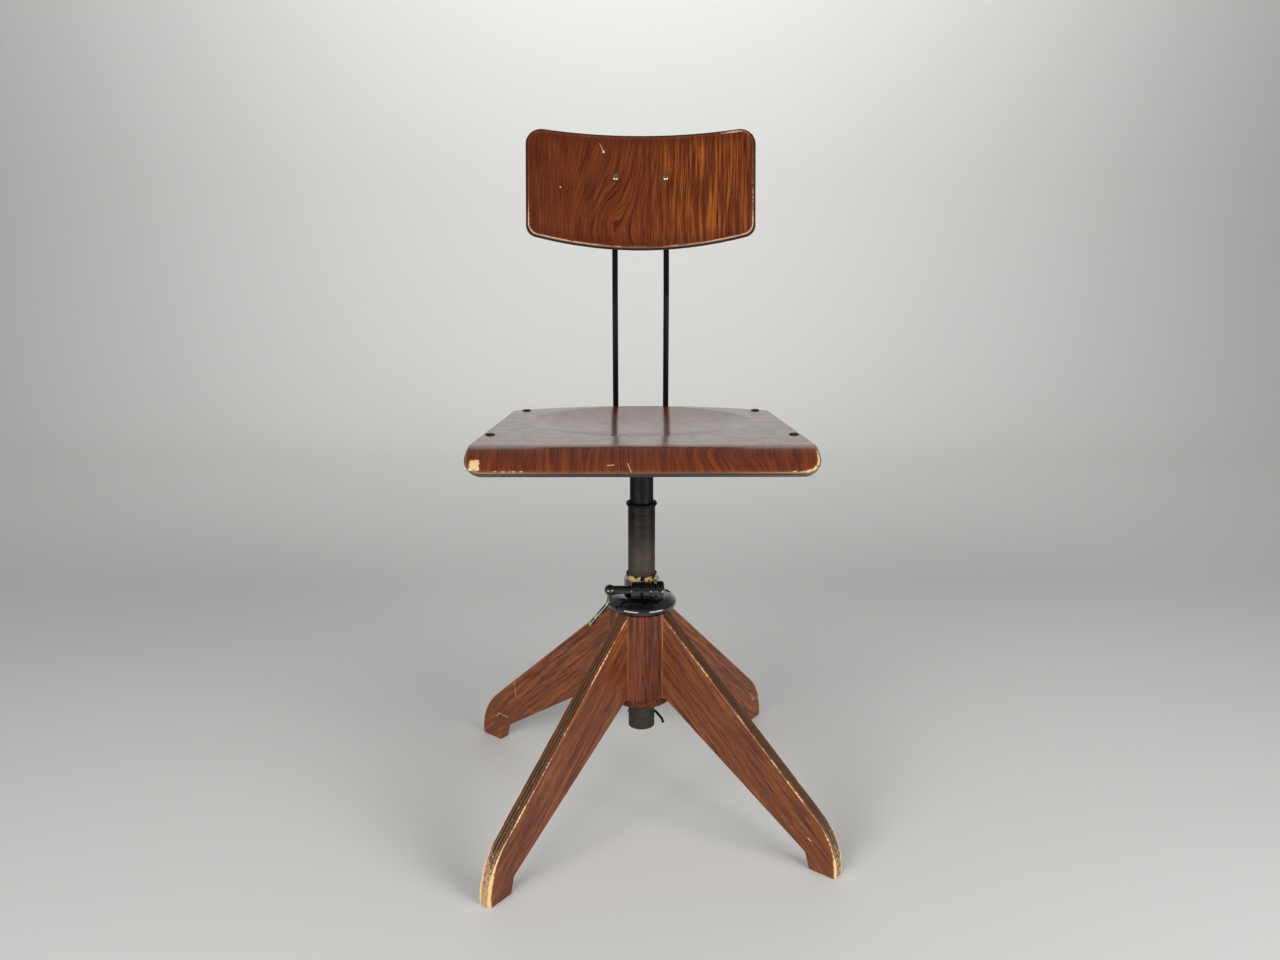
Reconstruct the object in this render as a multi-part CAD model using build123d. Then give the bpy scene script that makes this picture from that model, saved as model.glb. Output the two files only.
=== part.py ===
from build123d import *
import math
import os

# A swivel chair on four wooden legs: clamped column, sprung spindle, moulded plywood seat and back.
# Millimetres. +Z is up, the floor is z = 0, the column's axis is x = y = 0 and the seat faces -Y.

# Clearances
press_gap = 0.05  # between pieces that are fixed in one another
running_gap = 0.05  # radial, between a shaft or tube and what guides it
free_gap = 0.3  # between pieces that pass one another
stop_gap = 1.0  # left over at the ends of a travel

# Travels
height_down = 91.0
height_up = 19.0
bounce_travel = 35.0
back_rearward = 40.0
back_forward = 5.0

# Base: hub and legs
base_turn = 7.3  # degrees, of the legs from the seat's diagonals
hub_bottom = 161.0
hub_height = 118.0
hub_radius = 42.0
slot_depth = 14.0
leg_thickness = 17.0
leg_reach = 300.5
leg_top_inset = 4.7  # from the hub's side in to where the leg's top edge leaves the hub's top
leg_underside_step = 4.0  # from the hub's side out to where the underside starts to fall
leg_edge_round = 1.4
toe_radius = 91.0
toe_height = 4.7
toe_round_share = 0.8  # of the toe's height, rounded at the floor
foot_length = 36.5
heel_height = 21.0
heel_slant = 6.0
heel_round = 7.0
dowel_radius = 4.0
dowel_length = 36.0
dowel_spacing = 56.0

# Base: ring under the hub, collar on top, sleeve and clamp
base_ring_radius = 40.0
base_ring_height = 12.0
base_ring_round = 4.5
wood_screw_radius = 2.0
wood_screw_head = 4.0
wood_screw_length = 24.0
base_screw_circle = 31.0
collar_height = 20.0
collar_radius = 45.5
collar_lip = 7.0  # radius of the rounded lip
collar_lip_sweep = 60.0  # degrees that the lip turns past level
collar_top_radius = 29.0
collar_bulge = 1.2
collar_screw_circle = 34.5
sleeve_wall = 1.3
sleeve_lip_height = 7.0
sleeve_lip_flare = 1.7
sleeve_slit = 2.0
sleeve_slit_depth = 4.0  # below the collar's top
clamp_lift = 3.0
clamp_height = 16.0
clamp_wall = 4.0
clamp_slit = 3.0
clamp_screw_rise = 11.2  # of the screw's axis above the clamp's lower edge
lug_radius = 10.0
clamp_edge_round = 1.2  # of the lugs' ends and the nut's rims
left_lug_length = 12.0
right_lug_length = 9.8
clamp_nut_radius = 12.0
clamp_nut_length = 17.5
clamp_nut_round = 4.0
clamp_nut_collar = 6.0  # length of the nut's narrower end
clamp_nut_step = 1.6  # of the narrower end below the knob
clamp_nut_groove = 1.5
clamp_screw_radius = 5.5
lever_ball_radius = 7.0
lever_ball_gap = 20.0  # of bare screw between the ball and the lug
lever_radius = 2.8
lever_neck = (1.5, 17.5)  # outwards and down from the ball to the elbow
lever_arm = (23.5, 29.0)  # outwards and down from the elbow to the tip
lever_elbow_radius = 12.0
lever_pin_radius = 1.25
lever_pin_cover = 1.0  # of metal round the pin and over its ends

# Column
spindle_radius = 15.0
spindle_wall = 2.0
bush_wall = 0.9
bush_length = 30.0
column_wall = 1.5
column_foot_length = 19.0  # of tube below the stop pin
column_ring_height = 4.0
column_ring_lip = 1.5
column_ring_wall = 2.3
column_ring_round = 1.8
stop_pin_radius = 1.75
stop_pin_end = 0.8  # stands out of the tube on the short side
stop_pin_tail = (9.2, 11.6, 1.9, 5.8)  # outwards and down to the bend, then outwards and down to the tip
stop_pin_bend = 4.0
spring_plug_height = 12.0
spring_length = 90.0
spring_wire_radius = 2.5
spring_turns = 8
spring_side_gap = 1.5  # between the spring and the tube
cap_height = 12.0
thrust_ball_radius = 5.0
thrust_gap = 5.0  # between the spring cap and the spindle plug
plug_flange = 8.0
plug_spigot = 20.0

# Seat carrier
socket_wall = 6.0
socket_height = 22.0
socket_clear = 3.0  # above the column ring when the spring is fully pressed
socket_pin_radius = 3.0
socket_pin_end = 1.5
plate_thickness = 5.0
plate_half_width = 70.0
plate_front = 50.0
plate_rear = 110.0
arm_thickness = 5.0
arm_width = 18.0
arm_start = 38.0
arm_flat_end = 100.0
arm_pad_length = 30.0
arm_inset = 1.0  # of an arm's sloping stretch inside its flat ends
rivet_radius = 3.0
rivet_head_radius = 5.0
rivet_head_height = 2.5
rivet_inner_step = 48.0  # along each arm
rivet_outer_step = 64.0
seat_clear = 7.0  # between the arms and the hollow, on the column's axis

# Seat
round_share = 0.45  # of a sheet's thickness, at most, in each rounded edge
seat_ply = 11.0
seat_tilt = 3.4  # degrees, front up
seat_rear = 190.0
seat_rear_radius = 326.0
seat_roll_start = 150.0
seat_roll_radius = 53.0
seat_roll_angle = 58.5
seat_half_front = 192.5
seat_half_rear = 176.3
seat_half_rear_at = 141.0  # how far behind the axis the rear half width is measured
seat_front_overrun = 2.0  # of the plan outline past the roll's end
seat_front_corner = 20.0  # on the rolled-down edge
seat_rear_corner = 18.0
seat_edge_round = 2.5
dish_radius = 140.0  # of the hollow's rim
dish_depth = 12.0
dish_centre = 45.0  # behind the axis
front_bolt_inset = 13.5  # inside the half width at the front
front_bolt_forward = 80.0
rear_bolt_inset = 18.3  # inside the half width at the rear
rear_bolt_margin = 12.2  # in front of the bowed rear edge
bolt_radius = 3.0
bolt_head_radius = 6.0
bolt_head_height = 2.2
bolt_head_round = 2.0
nut_radius = 5.6
nut_height = 5.0
bolt_end = 1.5

# Back: rods and their holders under the seat
rod_radius = 4.0
rod_spacing = 72.0
rod_spare = 14.0  # in front of the clamp bar when the back is fully rearward
rod_low_bend = 24.0
rod_low_lean = 0.5  # degrees
rod_bend_height = 148.0  # above the seat
rod_high_bend = 40.0
guide_centre = 95.0
guide_depth = 22.0
guide_height = 16.0
guide_margin = 12.0  # of the guide and the clamp bar outside the rods
guide_screw_radius = 3.0
guide_screw_head = 5.0
guide_screw_head_height = 4.0
guide_screw_spacing = 28.0
bar_centre = 54.0
bar_depth = 24.0
bar_height = 9.5
bar_relief = 1.0  # of the bar's top below the rods' axes
wing_screw_radius = 4.0
wing_hub_radius = 7.0
wing_hub_height = 10.0
wing_span = 36.0
wing_height = 14.0
wing_thickness = 4.0
wing_round = 5.0

# Back: backrest
back_ply = 9.0
back_lean = 13.0  # degrees
back_bolt_height = 302.0  # above the seat
back_radius = 360.0  # of its hollow face
back_half_width = 156.7
back_top = 60.3  # of the top corners above the bolts, along the board
back_top_dip = 2.5  # of the top edge's middle
back_bottom = 100.4  # below the bolts, along the board
back_bottom_bow = 15.0
back_top_corner = 23.0
back_bottom_corner = 15.0
back_edge_round = 4.0
rod_end_width = 12.5
rod_end_thickness = 4.0
rod_end_flat = 4.0  # left between the round corners of the flattened end
rod_end_above = 14.0  # of the flattened end above the bolt
rod_end_below = 30.0  # of the flattened end below the bolt
rod_end_overlap = 14.0  # of the round rod and the flattened end
back_bolt_radius = 2.5
back_bolt_head_radius = 4.8
back_bolt_head_height = 2.4
back_bolt_head_round = 2.2
back_nut_radius = 4.6
back_nut_height = 4.0
back_bolt_end = 1.0

# Derived: radii from the spindle outwards
column_bore = spindle_radius + running_gap + bush_wall + press_gap
column_radius = column_bore + column_wall
sleeve_bore = column_radius + running_gap
sleeve_radius = sleeve_bore + sleeve_wall
hub_bore = sleeve_radius + press_gap
slot_bottom = hub_radius - slot_depth
clamp_bore = sleeve_radius + press_gap
clamp_radius = clamp_bore + clamp_wall
column_ring_radius = column_radius + press_gap + column_ring_wall
spindle_bore = spindle_radius - spindle_wall
socket_radius = spindle_radius + press_gap + socket_wall

# Derived: heights of the base
hub_top = hub_bottom + hub_height
base_ring_bottom = hub_bottom - base_ring_height
collar_top = hub_top + collar_height
clamp_bottom = collar_top + clamp_lift
clamp_top = clamp_bottom + clamp_height
clamp_screw_z = clamp_bottom + clamp_screw_rise
sleeve_top = clamp_top + sleeve_lip_height
left_lug_end = -clamp_slit / 2 - left_lug_length
right_lug_end = clamp_slit / 2 + right_lug_length
clamp_screw_y = -math.sqrt(clamp_radius**2 - right_lug_end**2) - clamp_nut_radius - free_gap
lever_ball_x = left_lug_end - lever_ball_gap - lever_ball_radius

# Derived: heights of the column
column_ring_bottom = sleeve_top + height_down + stop_gap
column_top = column_ring_bottom + column_ring_height
tube_top = column_top - column_ring_lip
stop_pin_z = base_ring_bottom - height_up - stop_gap - stop_pin_radius
column_foot = stop_pin_z - column_foot_length
spring_plug_bottom = stop_pin_z + stop_pin_radius + press_gap
spring_bottom = spring_plug_bottom + spring_plug_height
spring_top = spring_bottom + spring_length
cap_top = spring_top + cap_height
thrust_ball_z = cap_top + thrust_gap / 2
plug_bottom = cap_top + thrust_gap
spindle_bottom = plug_bottom + plug_flange

# Derived: heights of the seat
socket_bottom = column_top + bounce_travel + socket_clear
plate_bottom = socket_bottom + socket_height
plate_top = plate_bottom + plate_thickness
arm_top = plate_top + arm_thickness
seat_height = arm_top + seat_clear + dish_depth + seat_ply
seat_frame = Pos(0, 0, seat_height) * Rot(-seat_tilt, 0, 0)
dish_sphere = (dish_radius**2 + dish_depth**2) / (2 * dish_depth)

# Derived: the rods and the backrest
rod_x = rod_spacing / 2
rod_z = plate_bottom - rod_radius - free_gap
rod_front_end = bar_centre - bar_depth / 2 - back_rearward - rod_spare
rod_corner_y = seat_rear + back_forward + stop_gap + rod_radius
rod_bend_z = seat_height + rod_bend_height
rod_bend_y = rod_corner_y + (rod_bend_z - rod_z) * math.tan(math.radians(rod_low_lean))
back_bolt_z = seat_height + back_bolt_height
back_rod_y = rod_bend_y + (back_bolt_z - rod_bend_z) * math.tan(math.radians(back_lean))
back_outer = back_radius + back_ply
rod_circle = back_outer + press_gap + rod_radius
rod_angle = math.degrees(math.asin(rod_x / rod_circle))
rod_setback = rod_circle * math.cos(math.radians(rod_angle)) - back_radius
back_frame = Pos(0, back_rod_y, back_bolt_z) * Rot(-back_lean, 0, 0) * Pos(0, -rod_setback, 0)



def seat_rear_at(x):
    """How far back the seat's bowed rear edge lies at this distance from the middle."""
    return seat_rear - seat_rear_radius + math.sqrt(seat_rear_radius**2 - x**2)


leg_names = ("front_left", "front_right", "rear_right", "rear_left")
leg_pitch = 360 / len(leg_names)  # degrees
leg_turns = {name: base_turn + (step - 1 / 2) * leg_pitch for step, name in enumerate(leg_names)}
rear_bolt_x = seat_half_rear - rear_bolt_inset
seat_bolt_rows = [
    (seat_half_front - front_bolt_inset, -front_bolt_forward),
    (rear_bolt_x, seat_rear_at(rear_bolt_x) - rear_bolt_margin),
]
seat_bolt_spots = [(side * x, y) for x, y in seat_bolt_rows for side in (-1, 1)]
rivet_steps = [rivet_inner_step, rivet_outer_step]
upright = (Align.CENTER, Align.CENTER, Align.MIN)


def cylinder(radius, bottom, top):
    return Pos(0, 0, bottom) * Cylinder(radius, top - bottom, align=upright)


def tube(radius, bore, bottom, top):
    return cylinder(radius, bottom, top) - cylinder(bore, bottom, top)


def bar_x(radius, start, end):
    """A round bar along X."""
    return Pos(start, 0, 0) * Rot(0, 90, 0) * Cylinder(radius, end - start, align=upright)


def box(x0, x1, y0, y1, z0, z1):
    return Pos((x0 + x1) / 2, (y0 + y1) / 2, (z0 + z1) / 2) * Box(x1 - x0, y1 - y0, z1 - z0)


def turned(edges):
    """A solid of revolution about the column's axis from a closed (radius, height) outline."""
    return revolve(Plane.XZ * make_face(edges), Axis.Z)


def outline(*points):
    return Polyline(*points, close=True)


def swept_rod(path, radius):
    section = Plane(origin=path @ 0, z_dir=path % 0) * Circle(radius)
    return sweep(section, path=path)


def edge_round(radius, sheet):
    """The rounding of a sheet's edges, which leaves a little of the sheet between its two sides."""
    return min(radius, round_share * sheet)


def point_on(centre, radius, angle):
    turn = math.radians(angle)
    return (centre[0] + radius * math.cos(turn), centre[1] + radius * math.sin(turn))


def outward(turn):
    """Turns a piece drawn along +X towards the leg direction at this turn from the front."""
    return Rot(0, 0, turn - 90)


# Base: legs, hub and dowels


def leg_profile():
    toe_centre = (leg_reach - toe_radius, toe_height)
    top_start = (hub_radius - leg_top_inset, hub_top)
    run = toe_centre[0] - top_start[0]
    drop = toe_centre[1] - top_start[1]
    distance = math.hypot(run, drop)
    top_angle = math.degrees(math.atan2(drop, run) + math.asin(toe_radius / distance))
    top_end = point_on(toe_centre, toe_radius, top_angle + 90)
    toe_middle = point_on(toe_centre, toe_radius, (top_angle + 90) / 2)
    toe_end = (leg_reach, toe_height)
    heel = (leg_reach - foot_length, 0)
    heel_top = (heel[0] - heel_slant, heel_height)
    tenon_foot = (slot_bottom + press_gap, hub_bottom)
    tenon_head = (slot_bottom + press_gap, hub_top)
    lower = Polyline(
        tenon_head,
        tenon_foot,
        (hub_radius + leg_underside_step, hub_bottom),
        heel_top,
        heel,
        (leg_reach, 0),
        toe_end,
    )
    toe = ThreePointArc(toe_end, toe_middle, top_end)
    upper = Polyline(top_end, top_start, tenon_head)
    face = make_face([*lower.edges(), toe, *upper.edges()])
    face = fillet(face.vertices().sort_by_distance((*heel_top, 0))[0], heel_round)
    return fillet(face.vertices().sort_by_distance((leg_reach, 0, 0))[0], toe_round_share * toe_height)


def dowels(gap):
    """The two dowels of one leg, drawn along +X, each grown by a gap."""
    middle = hub_bottom + hub_height / 2
    start = hub_bore + stop_gap
    bar = bar_x(dowel_radius + gap, start - gap, start + dowel_length + gap)
    return [Pos(0, 0, middle + side * dowel_spacing / 2) * bar for side in (-1, 1)]


def make_leg(turn):
    leg = extrude(Plane.XZ * leg_profile(), leg_thickness / 2, both=True)
    sides = leg.faces().sort_by(Axis.Y)
    arrises = sides[0].edges() + sides[-1].edges()
    free = arrises.filter_by(lambda edge: edge.center().X > hub_radius + leg_edge_round)
    leg = fillet(free, leg_edge_round)
    for hole in dowels(press_gap):
        leg -= hole
    return outward(turn) * leg


def make_leg_dowels():
    return [outward(turn) * bar for turn in leg_turns.values() for bar in dowels(0)]


def countersunk_screw(gap):
    """A wood screw that points down, with the top of its head at z = 0, grown by a gap."""
    head = wood_screw_head + gap
    shank = wood_screw_radius + gap
    cone = Pos(0, 0, shank - head) * Cone(shank, head, head - shank, align=upright)
    return cone + cylinder(shank, -wood_screw_length - gap, shank - head)


def screws_between_legs(circle, place, gap):
    """Four screws on a circle, half way between the legs."""
    spots = [outward(turn + leg_pitch / 2) * Pos(circle, 0, 0) for turn in leg_turns.values()]
    return [spot * place * countersunk_screw(gap) for spot in spots]


def base_screws(gap):
    return screws_between_legs(base_screw_circle, Pos(0, 0, base_ring_bottom) * Rot(180, 0, 0), gap)


def collar_screw_z():
    """The heads sit in round seats, level with the lip's top end."""
    return hub_top + collar_lip * (1 + math.sin(math.radians(collar_lip_sweep)))


def collar_screws(gap):
    return screws_between_legs(collar_screw_circle, Pos(0, 0, collar_screw_z()), gap)


def make_hub_core():
    hub = tube(hub_radius, hub_bore, hub_bottom, hub_top)
    half = leg_thickness / 2 + press_gap
    slot = box(slot_bottom, hub_radius + slot_depth, -half, half, hub_bottom, hub_top)
    for turn in leg_turns.values():
        hub -= outward(turn) * slot
        for hole in dowels(press_gap):
            hub -= outward(turn) * hole
    for hole in base_screws(press_gap) + collar_screws(press_gap):
        hub -= hole
    return hub


def make_hub_base_ring():
    ring = tube(base_ring_radius, column_radius + free_gap, base_ring_bottom, hub_bottom)
    rims = ring.edges().filter_by(GeomType.CIRCLE).filter_by(lambda e: e.radius > hub_bore)
    ring = fillet(rims, base_ring_round)
    for hole in base_screws(press_gap):
        ring -= hole
    return ring


# Base: collar, sleeve, clamp and lever


def make_collar():
    bore = sleeve_radius + press_gap
    lip_centre = (collar_radius - collar_lip, hub_top + collar_lip)
    lip_foot = point_on(lip_centre, collar_lip, -90)
    lip_middle = point_on(lip_centre, collar_lip, (collar_lip_sweep - 90) / 2)
    lip_end = point_on(lip_centre, collar_lip, collar_lip_sweep)
    shoulder = (collar_top_radius, collar_top)
    bulge = ((lip_end[0] + shoulder[0]) / 2 + collar_bulge, (lip_end[1] + shoulder[1]) / 2 + collar_bulge)
    collar = turned(
        [
            Line((bore, collar_top), (bore, hub_top)),
            Line((bore, hub_top), lip_foot),
            ThreePointArc(lip_foot, lip_middle, lip_end),
            ThreePointArc(lip_end, bulge, shoulder),
            Line(shoulder, (bore, collar_top)),
        ]
    )
    for hole in collar_screws(press_gap):
        collar -= hole
    seat_radius = wood_screw_head + press_gap
    seat = Pos(collar_screw_circle, 0, 0) * cylinder(seat_radius, collar_screw_z(), collar_top)
    for turn in leg_turns.values():
        collar -= outward(turn + leg_pitch / 2) * seat
    return collar


def make_guide_sleeve():
    lip_start = sleeve_top - sleeve_lip_height
    sleeve = turned(
        outline(
            (sleeve_bore, hub_bottom),
            (sleeve_radius, hub_bottom),
            (sleeve_radius, lip_start),
            (sleeve_radius + sleeve_lip_flare, sleeve_top),
            (sleeve_bore + sleeve_lip_flare, sleeve_top),
            (sleeve_bore, lip_start),
        )
    )
    reach = sleeve_radius + 2 * sleeve_lip_flare
    half = sleeve_slit / 2
    slit = box(-reach, reach, -half, half, collar_top - sleeve_slit_depth, sleeve_top + stop_gap)
    return sleeve - slit - Rot(0, 0, 90) * slit


def clamp_axis():
    return Pos(0, clamp_screw_y, clamp_screw_z)


def make_clamp_ring():
    ring = tube(clamp_radius, clamp_bore, clamp_bottom, clamp_top)
    lugs = clamp_axis() * bar_x(lug_radius, left_lug_end, right_lug_end)
    lugs += box(
        left_lug_end,
        right_lug_end,
        clamp_screw_y,
        -clamp_bore,
        clamp_bottom,
        clamp_top,
    )
    lug_ends = lugs.edges().group_by(Axis.X)
    ring += fillet(lug_ends[0] + lug_ends[-1], clamp_edge_round)
    ring -= cylinder(clamp_bore, clamp_bottom, clamp_top)
    half = clamp_slit / 2
    front = clamp_screw_y - 2 * lug_radius
    ring -= box(-half, half, front, 0, clamp_bottom - lug_radius, clamp_top + lug_radius)
    return ring - clamp_axis() * bar_x(clamp_screw_radius + free_gap, left_lug_end, right_lug_end)


def make_clamp_nut():
    collar_end = right_lug_end + clamp_nut_collar
    knob_start = collar_end + clamp_nut_groove
    nut_end = right_lug_end + clamp_nut_length
    knob = bar_x(clamp_nut_radius, knob_start, nut_end)
    knob = fillet(knob.edges().filter_by(GeomType.CIRCLE).sort_by(Axis.X)[-1], clamp_nut_round)
    knob = fillet(knob.edges().filter_by(GeomType.CIRCLE).sort_by(Axis.X)[0], clamp_edge_round)
    collar = bar_x(clamp_nut_radius - clamp_nut_step, right_lug_end, collar_end)
    collar = fillet(collar.edges().filter_by(GeomType.CIRCLE), clamp_edge_round)
    neck_radius = clamp_nut_radius - 2 * clamp_nut_step
    neck = bar_x(neck_radius, right_lug_end + clamp_nut_groove, knob_start + clamp_nut_groove)
    nut = knob + collar + neck
    bore = bar_x(clamp_screw_radius + running_gap, right_lug_end, nut_end)
    return clamp_axis() * (nut - bore)


def lever_pin(gap):
    pin = Rot(90, 0, 0) * Cylinder(lever_pin_radius + gap, 2 * (lever_ball_radius - lever_pin_cover))
    return clamp_axis() * Pos(lever_ball_x + lever_pin_radius + lever_pin_cover, 0, 0) * pin


def make_clamp_screw():
    screw = bar_x(clamp_screw_radius, lever_ball_x, right_lug_end + clamp_nut_length - stop_gap)
    return clamp_axis() * screw - lever_pin(press_gap)


def make_clamp_lever():
    elbow = (-lever_neck[0], 0, -lever_neck[1])
    tip = (elbow[0] - lever_arm[0], 0, elbow[2] - lever_arm[1])
    path = FilletPolyline((0, 0, 0), elbow, tip, radius=lever_elbow_radius)
    lever = swept_rod(path, lever_radius) + Pos(*tip) * Sphere(lever_radius) + Sphere(lever_ball_radius)
    lever -= bar_x(clamp_screw_radius + press_gap, -press_gap, 2 * lever_ball_radius)
    return clamp_axis() * Pos(lever_ball_x, 0, 0) * lever - lever_pin(press_gap)


# Column


def stop_pin(gap):
    bend_x = column_radius + stop_pin_end
    out_x, out_z, tip_x, tip_z = stop_pin_tail
    path = FilletPolyline(
        (-bend_x, 0, 0),
        (bend_x, 0, 0),
        (bend_x + out_x, 0, -out_z),
        (bend_x + out_x + tip_x, 0, -out_z - tip_z),
        radius=stop_pin_bend,
    )
    return Pos(0, 0, stop_pin_z) * swept_rod(path, stop_pin_radius + gap)


def make_column_tube():
    return tube(column_radius, column_bore, column_foot, tube_top) - stop_pin(press_gap)


def make_column_ring():
    inside = column_radius + press_gap
    neck = spindle_radius + free_gap
    under = tube_top + press_gap
    ring = turned(
        outline(
            (inside, column_ring_bottom),
            (column_ring_radius, column_ring_bottom),
            (column_ring_radius, column_top),
            (neck, column_top),
            (neck, under),
            (inside, under),
        )
    )
    rims = ring.edges().filter_by(GeomType.CIRCLE).filter_by(lambda e: e.radius > inside)
    return fillet(rims, column_ring_round)


def make_column_bushes():
    bush = tube(column_bore - press_gap, spindle_radius + running_gap, 0, bush_length)
    upper = tube_top - press_gap - bush_length
    lower = spindle_bottom + free_gap
    return [Pos(0, 0, level) * bush for level in (lower, upper)]


def make_spring_plug():
    return cylinder(column_bore - press_gap, spring_plug_bottom, spring_bottom)


def biarc(start, start_way, end, end_way):
    """Two arcs that meet smoothly, from one point and direction to another."""
    chord = end - start
    ways = start_way + end_way
    spread = 2 * (1 - start_way.dot(end_way))
    along = chord.dot(ways)
    reach = (math.sqrt(along**2 + spread * chord.dot(chord)) - along) / spread
    joint = (start + start_way * reach + end - end_way * reach) * 0.5
    first = TangentArc(start, joint, tangent=start_way)
    return [first, TangentArc(joint, end, tangent=first % 1)]


def make_column_spring():
    radius = column_bore - spring_side_gap - spring_wire_radius
    bottom = spring_bottom + spring_wire_radius + running_gap
    rise = spring_length - 2 * spring_wire_radius - 2 * running_gap
    pitch = rise / spring_turns
    quarters = 4 * spring_turns

    def spot(step):
        turn = math.radians(90 * step)
        return Vector(radius * math.cos(turn), radius * math.sin(turn), bottom + pitch * step / 4)

    def way(step):
        turn = math.radians(90 * step)
        return Vector(-math.sin(turn), math.cos(turn), pitch / (2 * math.pi * radius)).normalized()

    arcs = []
    for step in range(quarters):
        arcs += biarc(spot(step), way(step), spot(step + 1), way(step + 1))
    turns = [(spot(step), spot(other)) for step in range(quarters) for other in range(step + 2, quarters)]
    least = min((one - other).length for one, other in turns) - 2 * spring_wire_radius
    print(f"least gap of the spring to itself: {least:.2f} mm")
    return swept_rod(Wire(arcs), spring_wire_radius)


# Spring cap and thrust ball


def make_thrust_ball(gap=0.0):
    return Pos(0, 0, thrust_ball_z) * Sphere(thrust_ball_radius + gap)


def make_spring_cap():
    return cylinder(column_bore - free_gap, spring_top, cap_top) - make_thrust_ball(press_gap)


# Seat: spindle, socket and arms


def make_spindle_plug():
    plug = cylinder(column_bore - free_gap, plug_bottom, spindle_bottom)
    plug += cylinder(spindle_bore - press_gap, spindle_bottom, spindle_bottom + plug_spigot)
    return plug - make_thrust_ball(running_gap)


def socket_pin(gap):
    half = socket_radius + socket_pin_end
    middle = socket_bottom + socket_height / 2
    return Pos(0, 0, middle) * bar_x(socket_pin_radius + gap, -half - gap, half + gap)


def make_spindle_tube():
    return tube(spindle_radius, spindle_bore, spindle_bottom, plate_top) - socket_pin(press_gap)


def arm_turns():
    return [math.degrees(math.atan2(y, x)) for x, y in seat_bolt_spots]


def rivet_spots():
    return [Rot(0, 0, turn) * Pos(step, 0, 0) for turn in arm_turns() for step in rivet_steps]


def make_seat_socket():
    boss = cylinder(socket_radius, socket_bottom, plate_bottom)
    plate = box(-plate_half_width, plate_half_width, -plate_front, plate_rear, plate_bottom, plate_top)
    plate = fillet(plate.edges().filter_by(Axis.Z), arm_width)
    socket = boss + plate
    socket -= cylinder(spindle_radius + press_gap, socket_bottom, plate_top)
    socket -= socket_pin(press_gap)
    for spot in rivet_spots():
        socket -= spot * cylinder(rivet_radius + press_gap, plate_bottom, plate_top)
    for spot in guide_screw_spots():
        socket -= spot * cylinder(guide_screw_radius + press_gap, plate_bottom, plate_top)
    return socket - Pos(0, bar_centre, 0) * cylinder(wing_screw_radius + running_gap, plate_bottom, plate_top)


def make_seat_arm(spot):
    """A flat bar on the socket plate that rises to a pad under the seat, at one of its bolts."""
    length = math.hypot(*spot)
    turn = math.degrees(math.atan2(spot[1], spot[0]))
    half = arm_width / 2
    flat = box(arm_start, arm_flat_end, -half, half, plate_top, arm_top)
    pad = box(length - arm_pad_length, length, -half, half, -seat_ply - arm_thickness, -seat_ply)
    pad += Pos(length, 0, 0) * cylinder(half, -seat_ply - arm_thickness, -seat_ply)
    pad = seat_frame * Rot(0, 0, turn) * pad
    pad_start = length - arm_pad_length
    slope = math.tan(math.radians(seat_tilt)) * spot[1] / length
    pad_level = seat_height - seat_ply - arm_inset - slope * (pad_start + arm_inset)
    rise = outline(
        (arm_flat_end - arm_thickness, plate_top),
        (arm_flat_end, plate_top),
        (pad_start + arm_thickness, pad_level - arm_thickness + 2 * arm_inset),
        (pad_start + arm_inset, pad_level),
        (arm_flat_end - arm_thickness, arm_top),
    )
    rise = extrude(Plane.XZ * make_face(rise), half - arm_inset, both=True)
    arm = Rot(0, 0, turn) * (flat + rise) + pad
    for step in rivet_steps:
        arm -= Rot(0, 0, turn) * Pos(step, 0, 0) * cylinder(rivet_radius + press_gap, plate_top, arm_top)
    return arm - seat_bolt(spot, press_gap)


def make_arm_rivets():
    rivet = cylinder(rivet_radius, plate_bottom, arm_top)
    rivet += cylinder(rivet_head_radius, arm_top, arm_top + rivet_head_height)
    return [spot * rivet for spot in rivet_spots()]


# Seat: shell and bolts


def seat_bolt(spot, gap):
    """A domed bolt, square to the seat, grown by a gap."""
    low = -seat_ply - arm_thickness - nut_height - bolt_end
    head = cylinder(bolt_head_radius, press_gap, press_gap + bolt_head_height)
    head = fillet(head.edges().sort_by(Axis.Z)[-1], bolt_head_round)
    bolt = head + cylinder(bolt_radius + gap, low, press_gap)
    return seat_frame * Pos(spot[0], spot[1], 0) * bolt


def make_seat_nut(spot):
    low = -seat_ply - arm_thickness - nut_height
    nut = extrude(RegularPolygon(nut_radius, 6), nut_height)
    nut -= cylinder(bolt_radius + press_gap, 0, nut_height)
    return seat_frame * Pos(spot[0], spot[1], low) * nut


def seat_section():
    """The seat's side view in its own frame: a flat sheet whose front edge rolls down."""
    centre = (-seat_roll_start, -seat_roll_radius)
    inner_radius = seat_roll_radius - seat_ply
    half_way = 90 + seat_roll_angle / 2
    end_angle = 90 + seat_roll_angle
    rear = seat_rear + seat_rear_corner
    outer_end = point_on(centre, seat_roll_radius, end_angle)
    inner_end = point_on(centre, inner_radius, end_angle)
    top_start = (-seat_roll_start, 0)
    low_start = (-seat_roll_start, -seat_ply)
    return make_face(
        [
            Line((rear, 0), top_start),
            ThreePointArc(top_start, point_on(centre, seat_roll_radius, half_way), outer_end),
            Line(outer_end, inner_end),
            ThreePointArc(inner_end, point_on(centre, inner_radius, half_way), low_start),
            Line(low_start, (rear, -seat_ply)),
            Line((rear, -seat_ply), (rear, 0)),
        ]
    )


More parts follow.
